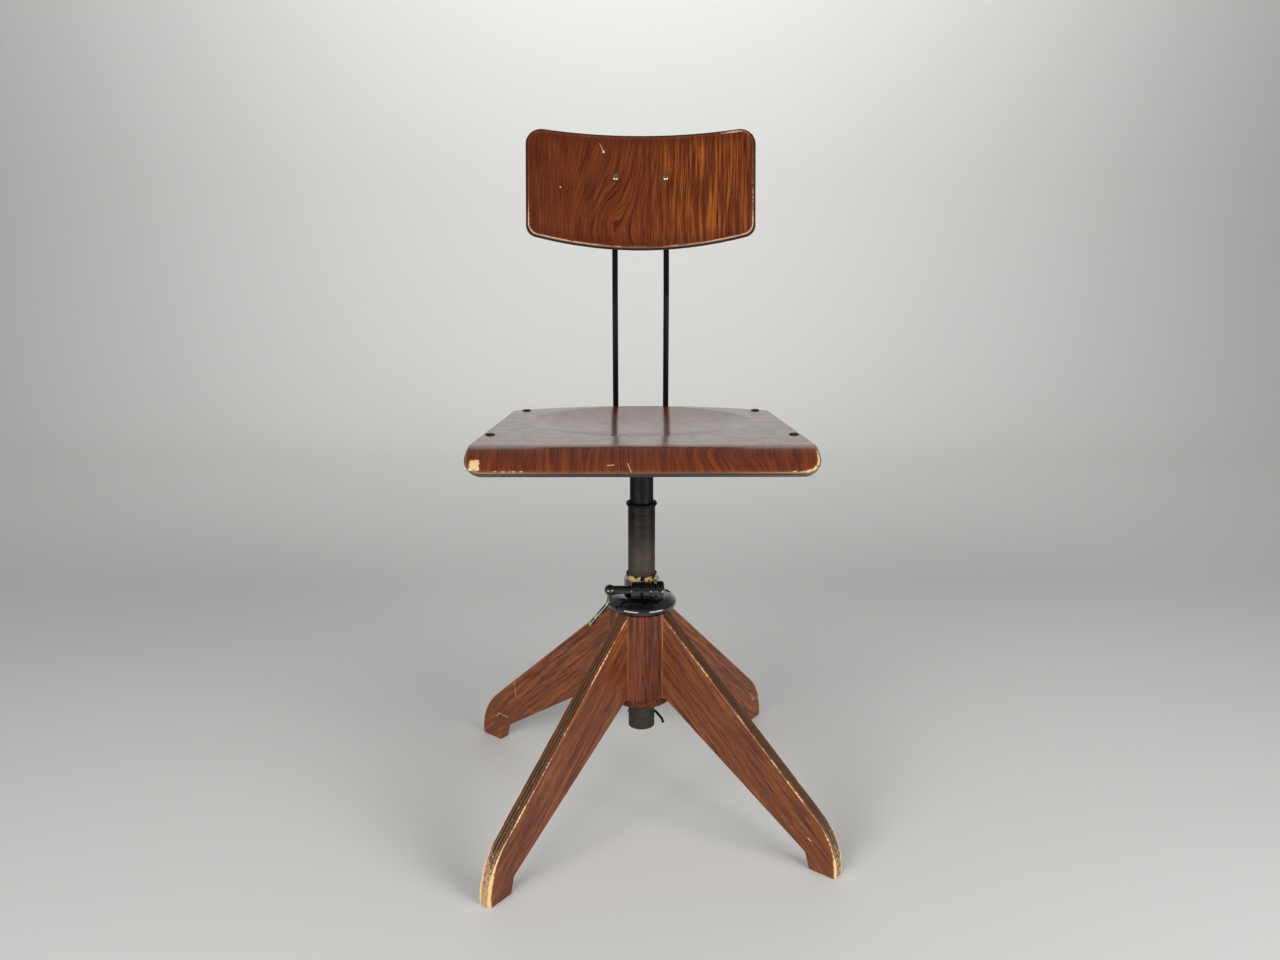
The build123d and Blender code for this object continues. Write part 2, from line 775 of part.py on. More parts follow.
def seat_plan():
    """The seat seen from above: tapered sides, a bowed rear edge and round rear corners."""
    front = seat_roll_start + seat_roll_radius * math.sin(math.radians(seat_roll_angle)) + seat_front_overrun
    taper = (seat_half_front - seat_half_rear) / (seat_roll_start + seat_half_rear_at)
    front_half = seat_half_front + taper * (front - seat_roll_start)
    centre_y = seat_rear - seat_rear_radius
    # The side x = front_half - taper * (y + front) meets the rear circle at the larger root of a quadratic.
    start = front_half - taper * (centre_y + front)
    a = 1 + taper**2
    b = -2 * start * taper
    c = start**2 - seat_rear_radius**2
    rise = (-b + math.sqrt(b**2 - 4 * a * c)) / (2 * a)
    corner = (start - taper * rise, centre_y + rise)
    sides = Polyline((-corner[0], corner[1]), (-front_half, -front), (front_half, -front), corner)
    rear = ThreePointArc(corner, (0, seat_rear), (-corner[0], corner[1]))
    face = make_face([*sides.edges(), rear])
    return fillet(face.vertices().sort_by(Axis.Y)[-2:], seat_rear_corner)


def make_seat_shell():
    wide = 2 * seat_half_front
    deep = seat_roll_radius + seat_ply + dish_depth
    rounding = edge_round(seat_edge_round, seat_ply)
    sheet = extrude(Plane.YZ * seat_section(), wide, both=True)
    block = Pos(0, 0, -deep) * extrude(seat_plan(), 2 * deep)
    shell = sheet & block
    front_corners = shell.edges().filter_by(Axis.X, reverse=True).sort_by(Axis.Y)[:2]
    shell = fillet(front_corners, seat_front_corner)
    # The edges that cross the ply stay as they are.
    edges = shell.edges().filter_by(lambda edge: edge.length > seat_ply + stop_gap)
    roll_lines = edges.filter_by(Axis.X).sort_by(Axis.Y)[-2:]
    shell = fillet(edges - roll_lines, rounding)
    # The hollow's spheres lie with their poles level, so that no pole is in the seat.
    ball_centre = Pos(0, dish_centre, dish_sphere - dish_depth) * Rot(90, 0, 0)
    inner_plan = offset(seat_plan(), amount=-rounding - stop_gap)
    inner_block = Pos(0, 0, -deep) * extrude(inner_plan, deep - seat_ply / 2)
    shell += ball_centre * Sphere(dish_sphere + seat_ply) & inner_block
    shell -= ball_centre * Sphere(dish_sphere)
    shell = seat_frame * shell
    for spot in seat_bolt_spots:
        shell -= seat_bolt(spot, press_gap)
    return shell


# Back: guide, clamp bar and wing screw under the seat


def guide_screw_spots():
    return [Pos(side * guide_screw_spacing / 2, guide_centre, 0) for side in (-1, 1)]


def rod_grooves(gap, centre, depth, top):
    """Room for the two rods along Y, open upwards."""
    radius = rod_radius + gap
    low = centre - depth
    high = centre + depth
    grooves = []
    for side in (-1, 1):
        groove = Pos(0, centre, rod_z) * Rot(90, 0, 0) * Cylinder(radius, 2 * depth)
        groove += box(-radius, radius, low, high, rod_z, top)
        grooves.append(Pos(side * rod_x, 0, 0) * groove)
    return grooves


def make_rod_guide():
    half = rod_x + guide_margin
    low = guide_centre - guide_depth / 2
    block = box(-half, half, low, low + guide_depth, plate_bottom - guide_height, plate_bottom)
    for groove in rod_grooves(running_gap, guide_centre, guide_depth, plate_bottom):
        block -= groove
    for spot in guide_screw_spots():
        block -= spot * cylinder(guide_screw_radius + press_gap, plate_bottom - guide_height, plate_bottom)
    return block


def make_guide_screws():
    low = plate_bottom - guide_height
    screw = cylinder(guide_screw_head, low - guide_screw_head_height, low)
    screw += cylinder(guide_screw_radius, low, plate_top)
    return [spot * screw for spot in guide_screw_spots()]


def bar_top():
    return rod_z - bar_relief


def make_rod_clamp_bar():
    half = rod_x + guide_margin
    low = bar_centre - bar_depth / 2
    bar = box(-half, half, low, low + bar_depth, bar_top() - bar_height, bar_top())
    for groove in rod_grooves(free_gap, bar_centre, bar_depth, plate_bottom):
        bar -= groove
    hole = cylinder(wing_screw_radius + free_gap, bar_top() - bar_height, bar_top())
    return bar - Pos(0, bar_centre, 0) * hole


def make_wing_screw():
    hub_high = bar_top() - bar_height - free_gap
    hub_low = hub_high - wing_hub_height
    wing_low = hub_low - wing_height
    half = wing_span / 2
    wings = box(-half, half, -wing_thickness / 2, wing_thickness / 2, wing_low, hub_low)
    wings = fillet(wings.edges().filter_by(Axis.Y).sort_by(Axis.Z)[:2], wing_round)
    screw = wings + cylinder(wing_hub_radius, hub_low, hub_high)
    screw += cylinder(wing_screw_radius, hub_low, plate_top)
    return Pos(0, bar_centre, 0) * screw


# Back: rods, backrest and bolts


def on_back(side):
    """Moves a piece drawn along +Y from the backrest's centre of curvature to one of the rods."""
    return back_frame * Pos(0, -back_radius, 0) * Rot(0, 0, -side * rod_angle)


def back_bolt_hole(side):
    long = back_ply + rod_end_thickness + back_nut_height
    hole = Rot(90, 0, 0) * Cylinder(back_bolt_radius + press_gap, long)
    return on_back(side) * Pos(0, back_radius + (back_ply + rod_end_thickness) / 2, 0) * hole


def make_back_rod(side):
    end_drop = (rod_end_below - rod_end_overlap) * math.cos(math.radians(back_lean))
    end_z = back_bolt_z - end_drop
    end_y = rod_bend_y + (end_z - rod_bend_z) * math.tan(math.radians(back_lean))
    path = FilletPolyline(
        (side * rod_x, rod_front_end, rod_z),
        (side * rod_x, rod_corner_y, rod_z),
        (side * rod_x, rod_bend_y, rod_bend_z),
        (side * rod_x, end_y, end_z),
        radius=[rod_low_bend, rod_high_bend],
    )
    near = back_outer + press_gap
    half = rod_end_width / 2
    flat = box(-half, half, near, near + rod_end_thickness, -rod_end_below, rod_end_above)
    flat = fillet(flat.edges().filter_by(Axis.Y), half - rod_end_flat / 2)
    return swept_rod(path, rod_radius) + on_back(side) * flat - back_bolt_hole(side)


def make_backrest_shell():
    centre = Pos(0, -back_radius, 0)
    board = centre * tube(back_outer, back_radius, -2 * back_bottom, 2 * back_top)
    half = back_half_width
    end_bottom = back_bottom_bow - back_bottom
    outer = [
        Line((-half, end_bottom), (-half, back_top)),
        ThreePointArc((-half, back_top), (0, back_top - back_top_dip), (half, back_top)),
        Line((half, back_top), (half, end_bottom)),
        ThreePointArc((half, end_bottom), (0, -back_bottom), (-half, end_bottom)),
    ]
    face = make_face(outer)
    face = fillet(face.vertices().sort_by(Axis.Y)[-2:], back_top_corner)
    face = fillet(face.vertices().sort_by(Axis.Y)[:2], back_bottom_corner)
    block = extrude(Plane.XZ * face, back_half_width, both=True)
    board &= block
    board = fillet(board.edges().filter_by(Axis.Y, reverse=True), edge_round(back_edge_round, back_ply))
    board = back_frame * board
    for side in (-1, 1):
        board -= back_bolt_hole(side)
    return board


def make_backrest_bolts():
    end = back_outer + press_gap + rod_end_thickness + back_nut_height + back_bolt_end
    head = cylinder(back_bolt_head_radius, 0, back_bolt_head_height)
    head = fillet(head.edges().sort_by(Axis.Z)[-1], back_bolt_head_round)
    head = Pos(0, back_radius - press_gap, 0) * Rot(90, 0, 0) * head
    start = back_radius - press_gap
    shank = Pos(0, (start + end) / 2, 0) * Rot(90, 0, 0) * Cylinder(back_bolt_radius, end - start)
    return [on_back(side) * (head + shank) for side in (-1, 1)]


def make_backrest_nuts():
    near = back_outer + press_gap + rod_end_thickness
    nut = extrude(RegularPolygon(back_nut_radius, 6), back_nut_height)
    nut -= cylinder(back_bolt_radius + press_gap, 0, back_nut_height)
    nut = Pos(0, near, 0) * Rot(-90, 0, 0) * nut
    return [on_back(side) * nut for side in (-1, 1)]


nodes = {
    "hub_core": make_hub_core(),
    **{f"leg_{name}": make_leg(turn) for name, turn in leg_turns.items()},
    "leg_dowels": make_leg_dowels(),
    "hub_base_ring": make_hub_base_ring(),
    "base_ring_screws": base_screws(0),
    "collar": make_collar(),
    "collar_screws": collar_screws(0),
    "guide_sleeve": make_guide_sleeve(),
    "clamp_ring": make_clamp_ring(),
    "clamp_nut": make_clamp_nut(),
    "clamp_screw": make_clamp_screw(),
    "clamp_lever": make_clamp_lever(),
    "lever_pin": lever_pin(0),
    "column_tube": make_column_tube(),
    "column_ring": make_column_ring(),
    "column_bushes": make_column_bushes(),
    "stop_pin": stop_pin(0),
    "spring_plug": make_spring_plug(),
    "column_spring": make_column_spring(),
    "spring_cap": make_spring_cap(),
    "thrust_ball": make_thrust_ball(),
    "spindle_plug": make_spindle_plug(),
    "spindle_tube": make_spindle_tube(),
    "seat_socket": make_seat_socket(),
    "socket_pin": socket_pin(0),
    "seat_arms": [make_seat_arm(spot) for spot in seat_bolt_spots],
    "arm_rivets": make_arm_rivets(),
    "seat_shell": make_seat_shell(),
    "seat_bolts": [seat_bolt(spot, 0) for spot in seat_bolt_spots],
    "seat_nuts": [make_seat_nut(spot) for spot in seat_bolt_spots],
    "rod_guide": make_rod_guide(),
    "rod_guide_screws": make_guide_screws(),
    "rod_clamp_bar": make_rod_clamp_bar(),
    "rod_wing_screw": make_wing_screw(),
    "back_rod_left": make_back_rod(-1),
    "back_rod_right": make_back_rod(1),
    "backrest_shell": make_backrest_shell(),
    "backrest_bolts": make_backrest_bolts(),
    "backrest_nuts": make_backrest_nuts(),
}

os.makedirs("parts", exist_ok=True)
for name, shape in nodes.items():
    solids = shape if isinstance(shape, list) else [shape]
    export_step(Compound([solid for piece in solids for solid in piece.solids()]), f"parts/{name}.step")
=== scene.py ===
import math

import bpy
import numpy as np
from mathutils import Matrix, Vector


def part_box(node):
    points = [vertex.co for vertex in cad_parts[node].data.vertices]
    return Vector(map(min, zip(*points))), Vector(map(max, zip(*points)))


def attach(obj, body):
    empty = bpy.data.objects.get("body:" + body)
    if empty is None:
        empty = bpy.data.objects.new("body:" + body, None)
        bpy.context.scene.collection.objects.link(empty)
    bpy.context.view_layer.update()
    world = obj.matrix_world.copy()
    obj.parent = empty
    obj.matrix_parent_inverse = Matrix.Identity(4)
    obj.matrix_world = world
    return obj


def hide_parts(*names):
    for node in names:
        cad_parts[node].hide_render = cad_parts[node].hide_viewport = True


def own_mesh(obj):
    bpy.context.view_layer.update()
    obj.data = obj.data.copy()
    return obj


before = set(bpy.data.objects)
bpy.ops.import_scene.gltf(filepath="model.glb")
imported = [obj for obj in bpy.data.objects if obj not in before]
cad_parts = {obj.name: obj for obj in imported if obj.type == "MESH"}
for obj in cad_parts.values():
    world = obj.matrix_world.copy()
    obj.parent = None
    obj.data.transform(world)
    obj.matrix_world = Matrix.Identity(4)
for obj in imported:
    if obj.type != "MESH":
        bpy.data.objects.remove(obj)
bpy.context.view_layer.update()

bl_info = {
    "name": "Swivel chair",
    "version": (1, 0, 0),
    "blender": (4, 5, 0),
    "location": "3D View > Sidebar > Chair",
    "description": "Dresses a swivel chair in stained plywood, turned wood, black enamel and worn steel",
    "category": "Add Mesh",
}

MM = 0.001

# Sizes and places of the pieces as in the CAD, in millimetres and radians. Leg turns are in degrees.
LEG_TURNS = {"front_left": -127.7, "front_right": -37.7, "rear_right": 52.3, "rear_left": 142.3}
LEG_SLOPE = math.radians(41.56)
LEG_TOP_OUT, LEG_TOP_UP = 37.3, 279
LEG_HALF = 8.5
TOE_OUT, TOE_UP = 209.5, 4.7
TOE_RADIUS = 91
TOE_END = math.radians(48.44)
HUB_RADIUS = 42
SLOT_HALF = 8.6
SEAT_HEIGHT = 521
SEAT_TILT = math.radians(-3.4)
SEAT_BEND = -150
SEAT_ROLL = 53
SEAT_ROLL_END = math.radians(58.5)
SEAT_HALF_FRONT = 192.5
SEAT_HALF_REAR = 176.3
SEAT_TAPER_END = 141
SEAT_REAR_ARC = 326
SEAT_REAR_CENTRE = -136
SEAT_REAR_CORNER = 18
SEAT_FRONT_CORNER = 20
SEAT_EDGE = 3
SEAT_BOLTS = ((179, -80), (158, 137))
BACK_PLACE = (0, 237.23, 823)
BACK_SHIFT = (0, -11.309, 0)
BACK_LEAN = math.radians(-13)
BACK_RADIUS = 360
BACK_HALF = 156.7
BACK_TOP, BACK_TOP_BOW, BACK_TOP_CORNER = 57.8, 2.5, 23
BACK_FOOT, BACK_FOOT_BOW, BACK_FOOT_CORNER = 100.4, 15, 15
BACK_EDGE = 4
ROD_TURN = math.radians(5.538)
BOLT_LIFT = 0.05
# A distance that is beyond the reach of any wear
FAR = 200


def linear(code):
    """An sRGB hex colour as linear red, green and blue."""
    shares = [int(code[i : i + 2], 16) / 255 for i in (1, 3, 5)]
    return tuple(s / 12.92 if s <= 0.04045 else ((s + 0.055) / 1.055) ** 2.4 for s in shares)


def tint(name, description, code):
    return bpy.props.FloatVectorProperty(
        name=name, description=description, default=linear(code), size=3, min=0, max=1, subtype="COLOR"
    )


def length(name, description, millimetres):
    return bpy.props.FloatProperty(
        name=name, description=description, default=millimetres * MM, unit="LENGTH", precision=4
    )


def angle(name, description, degrees):
    return bpy.props.FloatProperty(
        name=name, description=description, default=math.radians(degrees), unit="ROTATION"
    )


def power(name, description, watts):
    return bpy.props.FloatProperty(name=name, description=description, default=watts, min=0, unit="POWER")


class ChairFinish(bpy.types.PropertyGroup):
    """Colours of the woods, paints and metals."""

    back_dark: tint("Back dark", "Dark grain of the backrest's veneer", "#43190b")
    back_mid: tint("Back brown", "Main brown of the backrest's veneer", "#6f361b")
    back_light: tint("Back streaks", "Light streaks of the backrest's veneer", "#9e561d")
    seat_dark: tint("Seat dark", "Dark grain of the seat's veneer", "#4d1b0b")
    seat_mid: tint("Seat brown", "Main brown of the seat's veneer", "#622b16")
    seat_light: tint("Seat figure", "Light figure of the seat's veneer", "#7c3916")
    leg_dark: tint("Leg dark", "Dark grain of the legs", "#4b2113")
    leg_mid: tint("Leg brown", "Main brown of the legs", "#7a442a")
    leg_light: tint("Leg streaks", "Light streaks of the legs", "#8f5226")
    hub_dark: tint("Hub dark", "Dark grain of the hub", "#3c1a11")
    hub_mid: tint("Hub brown", "Main brown of the hub", "#653624")
    hub_light: tint("Hub streaks", "Light streaks of the hub", "#7c452b")
    # Pale line round the backrest's front: rubbed wood, and also a painted highlight on the rounded edge.
    back_worn: tint("Back edge", "Rubbed line round the backrest", "#c9a68c")
    bare: tint("Bare wood", "Wood where the stain is worn off", "#dbb986")
    # Dark old lacquer on cut edges. On the seat's and the backrest's rounded cut edges it is also painted
    # shade.
    rubbed: tint("Rubbed stain", "Stain that is rubbed thin", "#a5673a")
    grime_and_shade: tint("Grime", "Dark old lacquer on cut edges", "#2c150d")
    beech: tint("Beech", "Unstained dowels", "#c49a6c")
    enamel: tint("Enamel", "Black stoved enamel", "#0b0b0c")
    enamel_worn: tint("Worn enamel", "Metal under worn enamel", "#8d7648")
    brass: tint("Brass", "Guide sleeve", "#c6ab70")
    steel_brown: tint("Browned steel", "Column tube", "#0b0a0a")
    steel_grey: tint("Bared steel", "Rubbed stretch of the column", "#413b34")
    rust: tint("Rust", "Rust spots", "#38241a")
    spindle: tint("Spindle black", "Flat black of the spindle and the fittings under the seat", "#080808")
    rod: tint("Rod black", "Blackened steel of the back's rods", "#090909")
    bolt_brown: tint("Bolt brown", "Browned heads of the seat's bolts", "#2e1a14")
    bright: tint("Bright steel", "Domed bolts of the back", "#c9b698")
    plain: tint("Plain steel", "Screws, pins and spring", "#83817d")


class ChairSizes(bpy.types.PropertyGroup):
    """Sizes of the pieces that are made here, and of the wood whose grain and wear are laid here."""

    grain_step: length("Grain step", "Longest edge of the wooden pieces' triangles", 9)
    seat_bolt_radius: length("Seat bolt radius", "Radius of the domed heads on the seat", 6)
    seat_bolt_height: length("Seat bolt height", "Height of the domed heads on the seat", 2.2)
    back_bolt_radius: length("Back bolt radius", "Radius of the domed heads on the backrest", 4.8)
    back_bolt_height: length("Back bolt height", "Height of the domed heads on the backrest", 2.4)
    spring_wire: length("Spring wire", "Radius of the spring's wire", 2.5)
    spring_turns: bpy.props.IntProperty(
        name="Spring turns", description="Turns of the spring's wire", default=8, min=2, max=30
    )


class ChairStage(bpy.types.PropertyGroup):
    """Floor, lamps and camera."""

    floor: tint("Floor", "Plain pale floor and sweep", "#dadad8")
    lens: bpy.props.FloatProperty(
        name="Lens",
        description="Focal length on a 36 mm sensor",
        default=29.03,
        min=10,
        max=200,
        unit="CAMERA",
    )
    camera_place: bpy.props.FloatVectorProperty(
        name="Camera place",
        description="Where the camera stands",
        default=(-0.00865, -1.26997, 0.783),
        unit="LENGTH",
    )
    camera_pitch: angle("Camera pitch", "How far the camera looks down", 14.72)
    camera_yaw: angle("Camera yaw", "How far the camera is turned left", -0.3)
    softbox_power: power("Softbox power", "Power of each softbox, in watts", 21)
    card_power: power("Card power", "Power of each card that is mirrored in the enamel, in watts", 8)
    backdrop_power: power("Backdrop power", "Power of the lamp that lights the sweep behind, in watts", 44)
    ambient: bpy.props.FloatProperty(
        name="Ambient",
        description="Strength of the even light from all round",
        default=0.25,
        min=0,
        max=2,
        subtype="FACTOR",
    )


# Sockets of a range: where what it reads begins and ends, and what it gives there
LOW = "From Min"
HIGH = "From Max"
LEAST = "To Min"
FULL = "To Max"

# Kinds of node, and settings that many of them share
MATH = "ShaderNodeMath"
VECTOR = "ShaderNodeVectorMath"
NOISE = "ShaderNodeTexNoise"
RANGE = "ShaderNodeMapRange"
MIX = "ShaderNodeMix"
SPLIT = "ShaderNodeSeparateXYZ"
JOIN = "ShaderNodeCombineXYZ"
PLUS = {"operation": "ADD"}
LESS = {"operation": "SUBTRACT"}
TIMES = {"operation": "MULTIPLY"}
TIMES_PLUS = {"operation": "MULTIPLY_ADD"}
MOST = {"operation": "MAXIMUM"}
DOT = {"operation": "DOT_PRODUCT"}
SMOOTH = {"interpolation_type": "SMOOTHSTEP"}
COLOURS = {"data_type": "RGBA"}


# Building materials and meshes


def add(tree, name, kind, links=None, settings=None):
    """Adds one node with its settings. A link is a value, or "node" or "node:socket" of an earlier one."""
    node = tree.nodes.new(kind)
    node.name = name
    for key, value in (settings or {}).items():
        setattr(node, key, value)
    for key, value in (links or {}).items():
        if isinstance(value, str):
            source, _, socket = value.partition(":")
            outputs = tree.nodes[source].outputs
            tree.links.new(outputs[socket] if socket else outputs[0], node.inputs[key])
        else:
            node.inputs[key].default_value = value
    return node


def solid(colour):
    return (*colour, 1.0)


def new_material(name):
    material = bpy.data.materials.new(name)
    material.use_nodes = True
    material.node_tree.nodes.clear()
    return material, material.node_tree


def finish_of(context):
    return context.scene.chair_finish


def dress(material, *nodes):
    """Gives CAD nodes a better material."""
    for node in nodes:
        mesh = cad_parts[node].data
        mesh.materials.clear()
        mesh.materials.append(material)


def corner_data(mesh):
    """The mesh's points, joined where they meet, its triangles over them and each corner's normal."""
    points = np.zeros(len(mesh.vertices) * 3)
    mesh.vertices.foreach_get("co", points)
    corners = np.zeros(len(mesh.loops), np.int32)
    mesh.loops.foreach_get("vertex_index", corners)
    normals = np.zeros(len(mesh.loops) * 3)
    mesh.corner_normals.foreach_get("vector", normals)
    points, joined = np.unique(np.round(points.reshape(-1, 3), 7), axis=0, return_inverse=True)
    triangles = joined.ravel()[corners].reshape(-1, 3)
    whole = (triangles != triangles[:, [1, 2, 0]]).all(axis=1)
    return points, triangles[whole], normals.reshape(-1, 3, 3)[whole]


# Ways to cut a triangle with corners 0 to 2 and edge middles 3 to 5, by how many edges are too long
UNCUT = [(0, 1, 2)]
ONE_CUT = [(0, 3, 2), (3, 1, 2)]
TWO_CUTS = [(3, 1, 4), (0, 3, 4), (0, 4, 2)]
THREE_CUTS = [(0, 3, 5), (3, 1, 4), (5, 4, 2), (3, 4, 5)]


def cut_once(points, triangles, normals, far):
    """Halves the edges that are marked as too long."""
    ends = [1, 2, 0]
    pairs = np.sort(np.stack([triangles, triangles[:, ends]], axis=2), axis=2)
    halved, which = np.unique(pairs[far], axis=0, return_inverse=True)
    middles = np.zeros_like(triangles)
    middles[far] = len(points) + which.ravel()
    points = np.concatenate([points, points[halved].mean(axis=1)])
    corners = np.concatenate([triangles, middles], axis=1)
    ways = np.concatenate([normals, (normals + normals[:, ends]) / 2], axis=1)
    first_long = np.where(far.sum(axis=1) == 2, np.argmin(far, axis=1) + 1, np.argmax(far, axis=1))
    order = (np.arange(3) + first_long[:, None]) % 3
    order = np.concatenate([order, order + 3], axis=1)
    corners = np.take_along_axis(corners, order, axis=1)
    ways = np.take_along_axis(ways, order[:, :, None], axis=1)
    made, made_ways = [], []
    for count, pattern in enumerate((UNCUT, ONE_CUT, TWO_CUTS, THREE_CUTS)):
        picked = far.sum(axis=1) == count
        for triangle in pattern:
            made.append(corners[picked][:, triangle])
            made_ways.append(ways[picked][:, triangle])
    return points, np.concatenate(made), np.concatenate(made_ways)


def close_copy(node, step):
    """A copy of a node's mesh, cut into triangles small enough to carry grain and wear."""
    points, triangles, normals = corner_data(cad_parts[node].data)
    while True:
        edges = points[triangles] - points[triangles[:, [1, 2, 0]]]
        far = np.linalg.norm(edges, axis=2) > step
        if not far.any():
            break
        points, triangles, normals = cut_once(points, triangles, normals, far)
    mesh = bpy.data.meshes.new(node + "_fine")
    mesh.from_pydata(points.tolist(), [], triangles.tolist())
    for face in mesh.polygons:
        face.use_smooth = True
    normals /= np.maximum(np.linalg.norm(normals, axis=2), 1e-9)[:, :, None]
    mesh.normals_split_custom_set(normals.reshape(-1, 3).tolist())
    return mesh


def points_in(mesh, place):
    """The mesh's vertices in a piece's own frame, in millimetres."""
    points = np.zeros(len(mesh.vertices) * 3)
    mesh.vertices.foreach_get("co", points)
    points = points.reshape(-1, 3) / MM
    inverse = np.array(place.inverted())
    return points @ inverse[:3, :3].T + inverse[:3, 3]


def lay(mesh, across, along, through, arris, scuff):
    """Writes a wooden piece's grain and wear onto its points, in millimetres."""
    layer = mesh.attributes.new("grain", "FLOAT_VECTOR", "POINT")
    grain = np.stack([across, along, through], axis=1)
    layer.data.foreach_set("vector", grain.astype(np.float32).ravel())
    for name, values in (("arris", arris), ("scuff", scuff)):
        layer = mesh.attributes.new(name, "FLOAT", "POINT")
        layer.data.foreach_set("value", values.astype(np.float32))


def new_piece(name, mesh, material, body, slot, *nodes):
    mesh.materials.clear()
    mesh.materials.append(material)
    piece = bpy.data.objects.new(name, mesh)
    bpy.context.scene.collection.objects.link(piece)
    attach(piece, body)
    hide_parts(*nodes)
    return piece


def round_corner(one, other, radius):
    """Distance from an outline with a round corner, from the distances to its two sides."""
    inside = radius - np.hypot(radius - one, radius - other)
    return np.where((one < radius) & (other < radius), inside, np.minimum(one, other))


def ramp(values, none, full):
    """0 at the one value and 1 at the other, even between them and level beyond."""
    return np.clip((values - none) / (full - none), 0, 1)


# Materials


def stained_wood(name, look):
    """Stained and lacquered wood: fibres, streaks and pores along the grain, bare wood on rubbed edges.

    It reads the piece's own attributes in millimetres: grain (across, along and through the board), arris
    (from the nearest worn edge, below zero on the cut side) and scuff (how hard that place is worn).
    Noise keeps near one half, so the ranges that read it lie close round that.
    """
    material, tree = new_material(name)
    for layer in ("grain", "arris", "scuff"):
        add(tree, layer, "ShaderNodeAttribute", None, {"attribute_name": layer})
    add(tree, "place", SPLIT, {"Vector": "grain:Vector"})

    # The grain wanders by a few millimetres and swirls round one spot.
    add(tree, "stretch", VECTOR, {0: "grain:Vector", 1: (1, 0.22, 1)}, TIMES)
    add(tree, "wander", NOISE, {"Vector": "stretch", "Scale": 1 / 40, "Detail": 2})
    add(tree, "wander_by", MATH, {0: "wander:Fac", 1: look["wander"]}, TIMES)
    swirl_at = (*look["swirl_at"], 0)
    swirl_size = (1 / look["swirl_wide"], 1 / look["swirl_long"], 0)
    add(tree, "from_swirl", VECTOR, {0: "grain:Vector", 1: swirl_at}, LESS)
    add(tree, "swirl_in", VECTOR, {0: "from_swirl", 1: swirl_size}, TIMES)
    add(tree, "swirl_far", VECTOR, {0: "swirl_in", 1: "swirl_in"}, DOT)
    add(tree, "swirl_less", MATH, {0: "swirl_far:Value", 1: -1}, TIMES)
    add(tree, "swirl", MATH, {0: "swirl_less"}, {"operation": "EXPONENT"})
    add(tree, "shift", MATH, {0: "swirl", 1: look["swirl"], 2: "wander_by"}, TIMES_PLUS)
    add(tree, "shift_across", JOIN, {"X": "shift"})
    add(tree, "laid", VECTOR, {0: "grain:Vector", 1: "shift_across"}, PLUS)

    # Bands, streaks, fibres and pores, each long along the grain. The real fibres and pores are a third of
    # a millimetre wide; they are drawn about three times as wide so that they show.
    for part, width, long, detail in (
        ("bands", look["band"], 22, 2),
        ("streaks", look["streak"], 40, 3),
        ("fibres", look["fibre"], 36, 2),
        ("pores", look["pore"], 9, 1),
    ):
        add(tree, part + "_at", VECTOR, {0: "laid", 1: (1, 1 / long, 0.6)}, TIMES)
        add(tree, part, NOISE, {"Vector": part + "_at", "Scale": 1 / width, "Detail": detail})
    for part, width, detail in (("mottle", 55, 3), ("patchy", 30, 3), ("haze", 16, 4)):
        add(tree, part, NOISE, {"Vector": "grain:Vector", "Scale": 1 / width, "Detail": detail})

    # How far the stain is its main brown, its light brown or dark
    add(tree, "tone", MATH, {0: "fibres:Fac", 1: look["fibre_share"], 2: "streaks:Fac"}, TIMES_PLUS)
    low = 0.39 + look["fibre_share"] * 0.41
    high = 0.59 + look["fibre_share"] * 0.59
    add(tree, "tone_share", RANGE, {"Value": "tone", LOW: low, HIGH: high})
    light_side = {
        "Value": "place:X",
        LOW: look["light_from"],
        HIGH: look["light_to"],
        LEAST: look["light_least"],
    }
    add(tree, "light_side", RANGE, light_side, SMOOTH)
    add(tree, "band_tone", MATH, {0: "fibres:Fac", 1: 0.5, 2: "bands:Fac"}, TIMES_PLUS)
    add(tree, "band_share", RANGE, {"Value": "band_tone", LOW: 0.7, HIGH: 0.96})
    add(tree, "light_share", MATH, {0: "band_share", 1: "light_side"}, TIMES)
    add(tree, "pore_lines", RANGE, {"Value": "pores:Fac", LOW: 0.55, HIGH: 0.7, FULL: look["pore_depth"]})
    add(tree, "mottle_share", RANGE, {"Value": "mottle:Fac", LOW: 0.42, HIGH: 0.72, FULL: look["mottle"]})
    add(tree, "dark_share", MATH, {0: "pore_lines", 1: "mottle_share"}, MOST)
    add(tree, "rim", RANGE, {"Value": "arris:Fac", LOW: 24, HIGH: 0, FULL: look["rim_dark"]}, SMOOTH)
    add(tree, "darkest", MATH, {0: "dark_share", 1: "rim"}, MOST)

    # The cut side of the board keeps dark, dull old lacquer. On the seat and the backrest this dark also
    # stands for painted shade on their rounded cut edges.
    cut_side = {"Value": "arris:Fac", LOW: -0.2, HIGH: -1.1, FULL: look["cut_dark"]}
    add(tree, "cut_side", RANGE, cut_side, SMOOTH)
    # It is bruised down to pale wood in patches where it is scuffed hard.
    add(tree, "broken", NOISE, {"Vector": "grain:Vector", "Scale": 1 / 4, "Detail": 4, "Roughness": 0.7})
    add(tree, "bruise", MATH, {0: "scuff:Fac", 1: 0.55, 2: "broken:Fac"}, TIMES_PLUS)
    add(tree, "bruise_patch", RANGE, {"Value": "bruise", LOW: 0.8, HIGH: 0.98, FULL: look["bruise"]})
    add(tree, "bruise_share", MATH, {0: "bruise_patch", 1: "cut_side"}, TIMES)
    # Every second ply shows as a paler stripe on it, most where it is scuffed.
    add(tree, "ply_turn", MATH, {0: "place:Z", 1: 2 * math.pi / look["ply"]}, TIMES)
    add(tree, "ply_wave", MATH, {0: "ply_turn"}, {"operation": "COSINE"})
    add(tree, "ply_stripe", RANGE, {"Value": "ply_wave", LOW: 0.55, HIGH: 0.9})
    add(tree, "ply_on_cut", MATH, {0: "ply_stripe", 1: "cut_side"}, TIMES)
    add(tree, "ply_seen", MATH, {0: "scuff:Fac", 1: 0.5, 2: 0.04}, TIMES_PLUS)
    add(tree, "ply_share", MATH, {0: "ply_on_cut", 1: "ply_seen"}, TIMES)

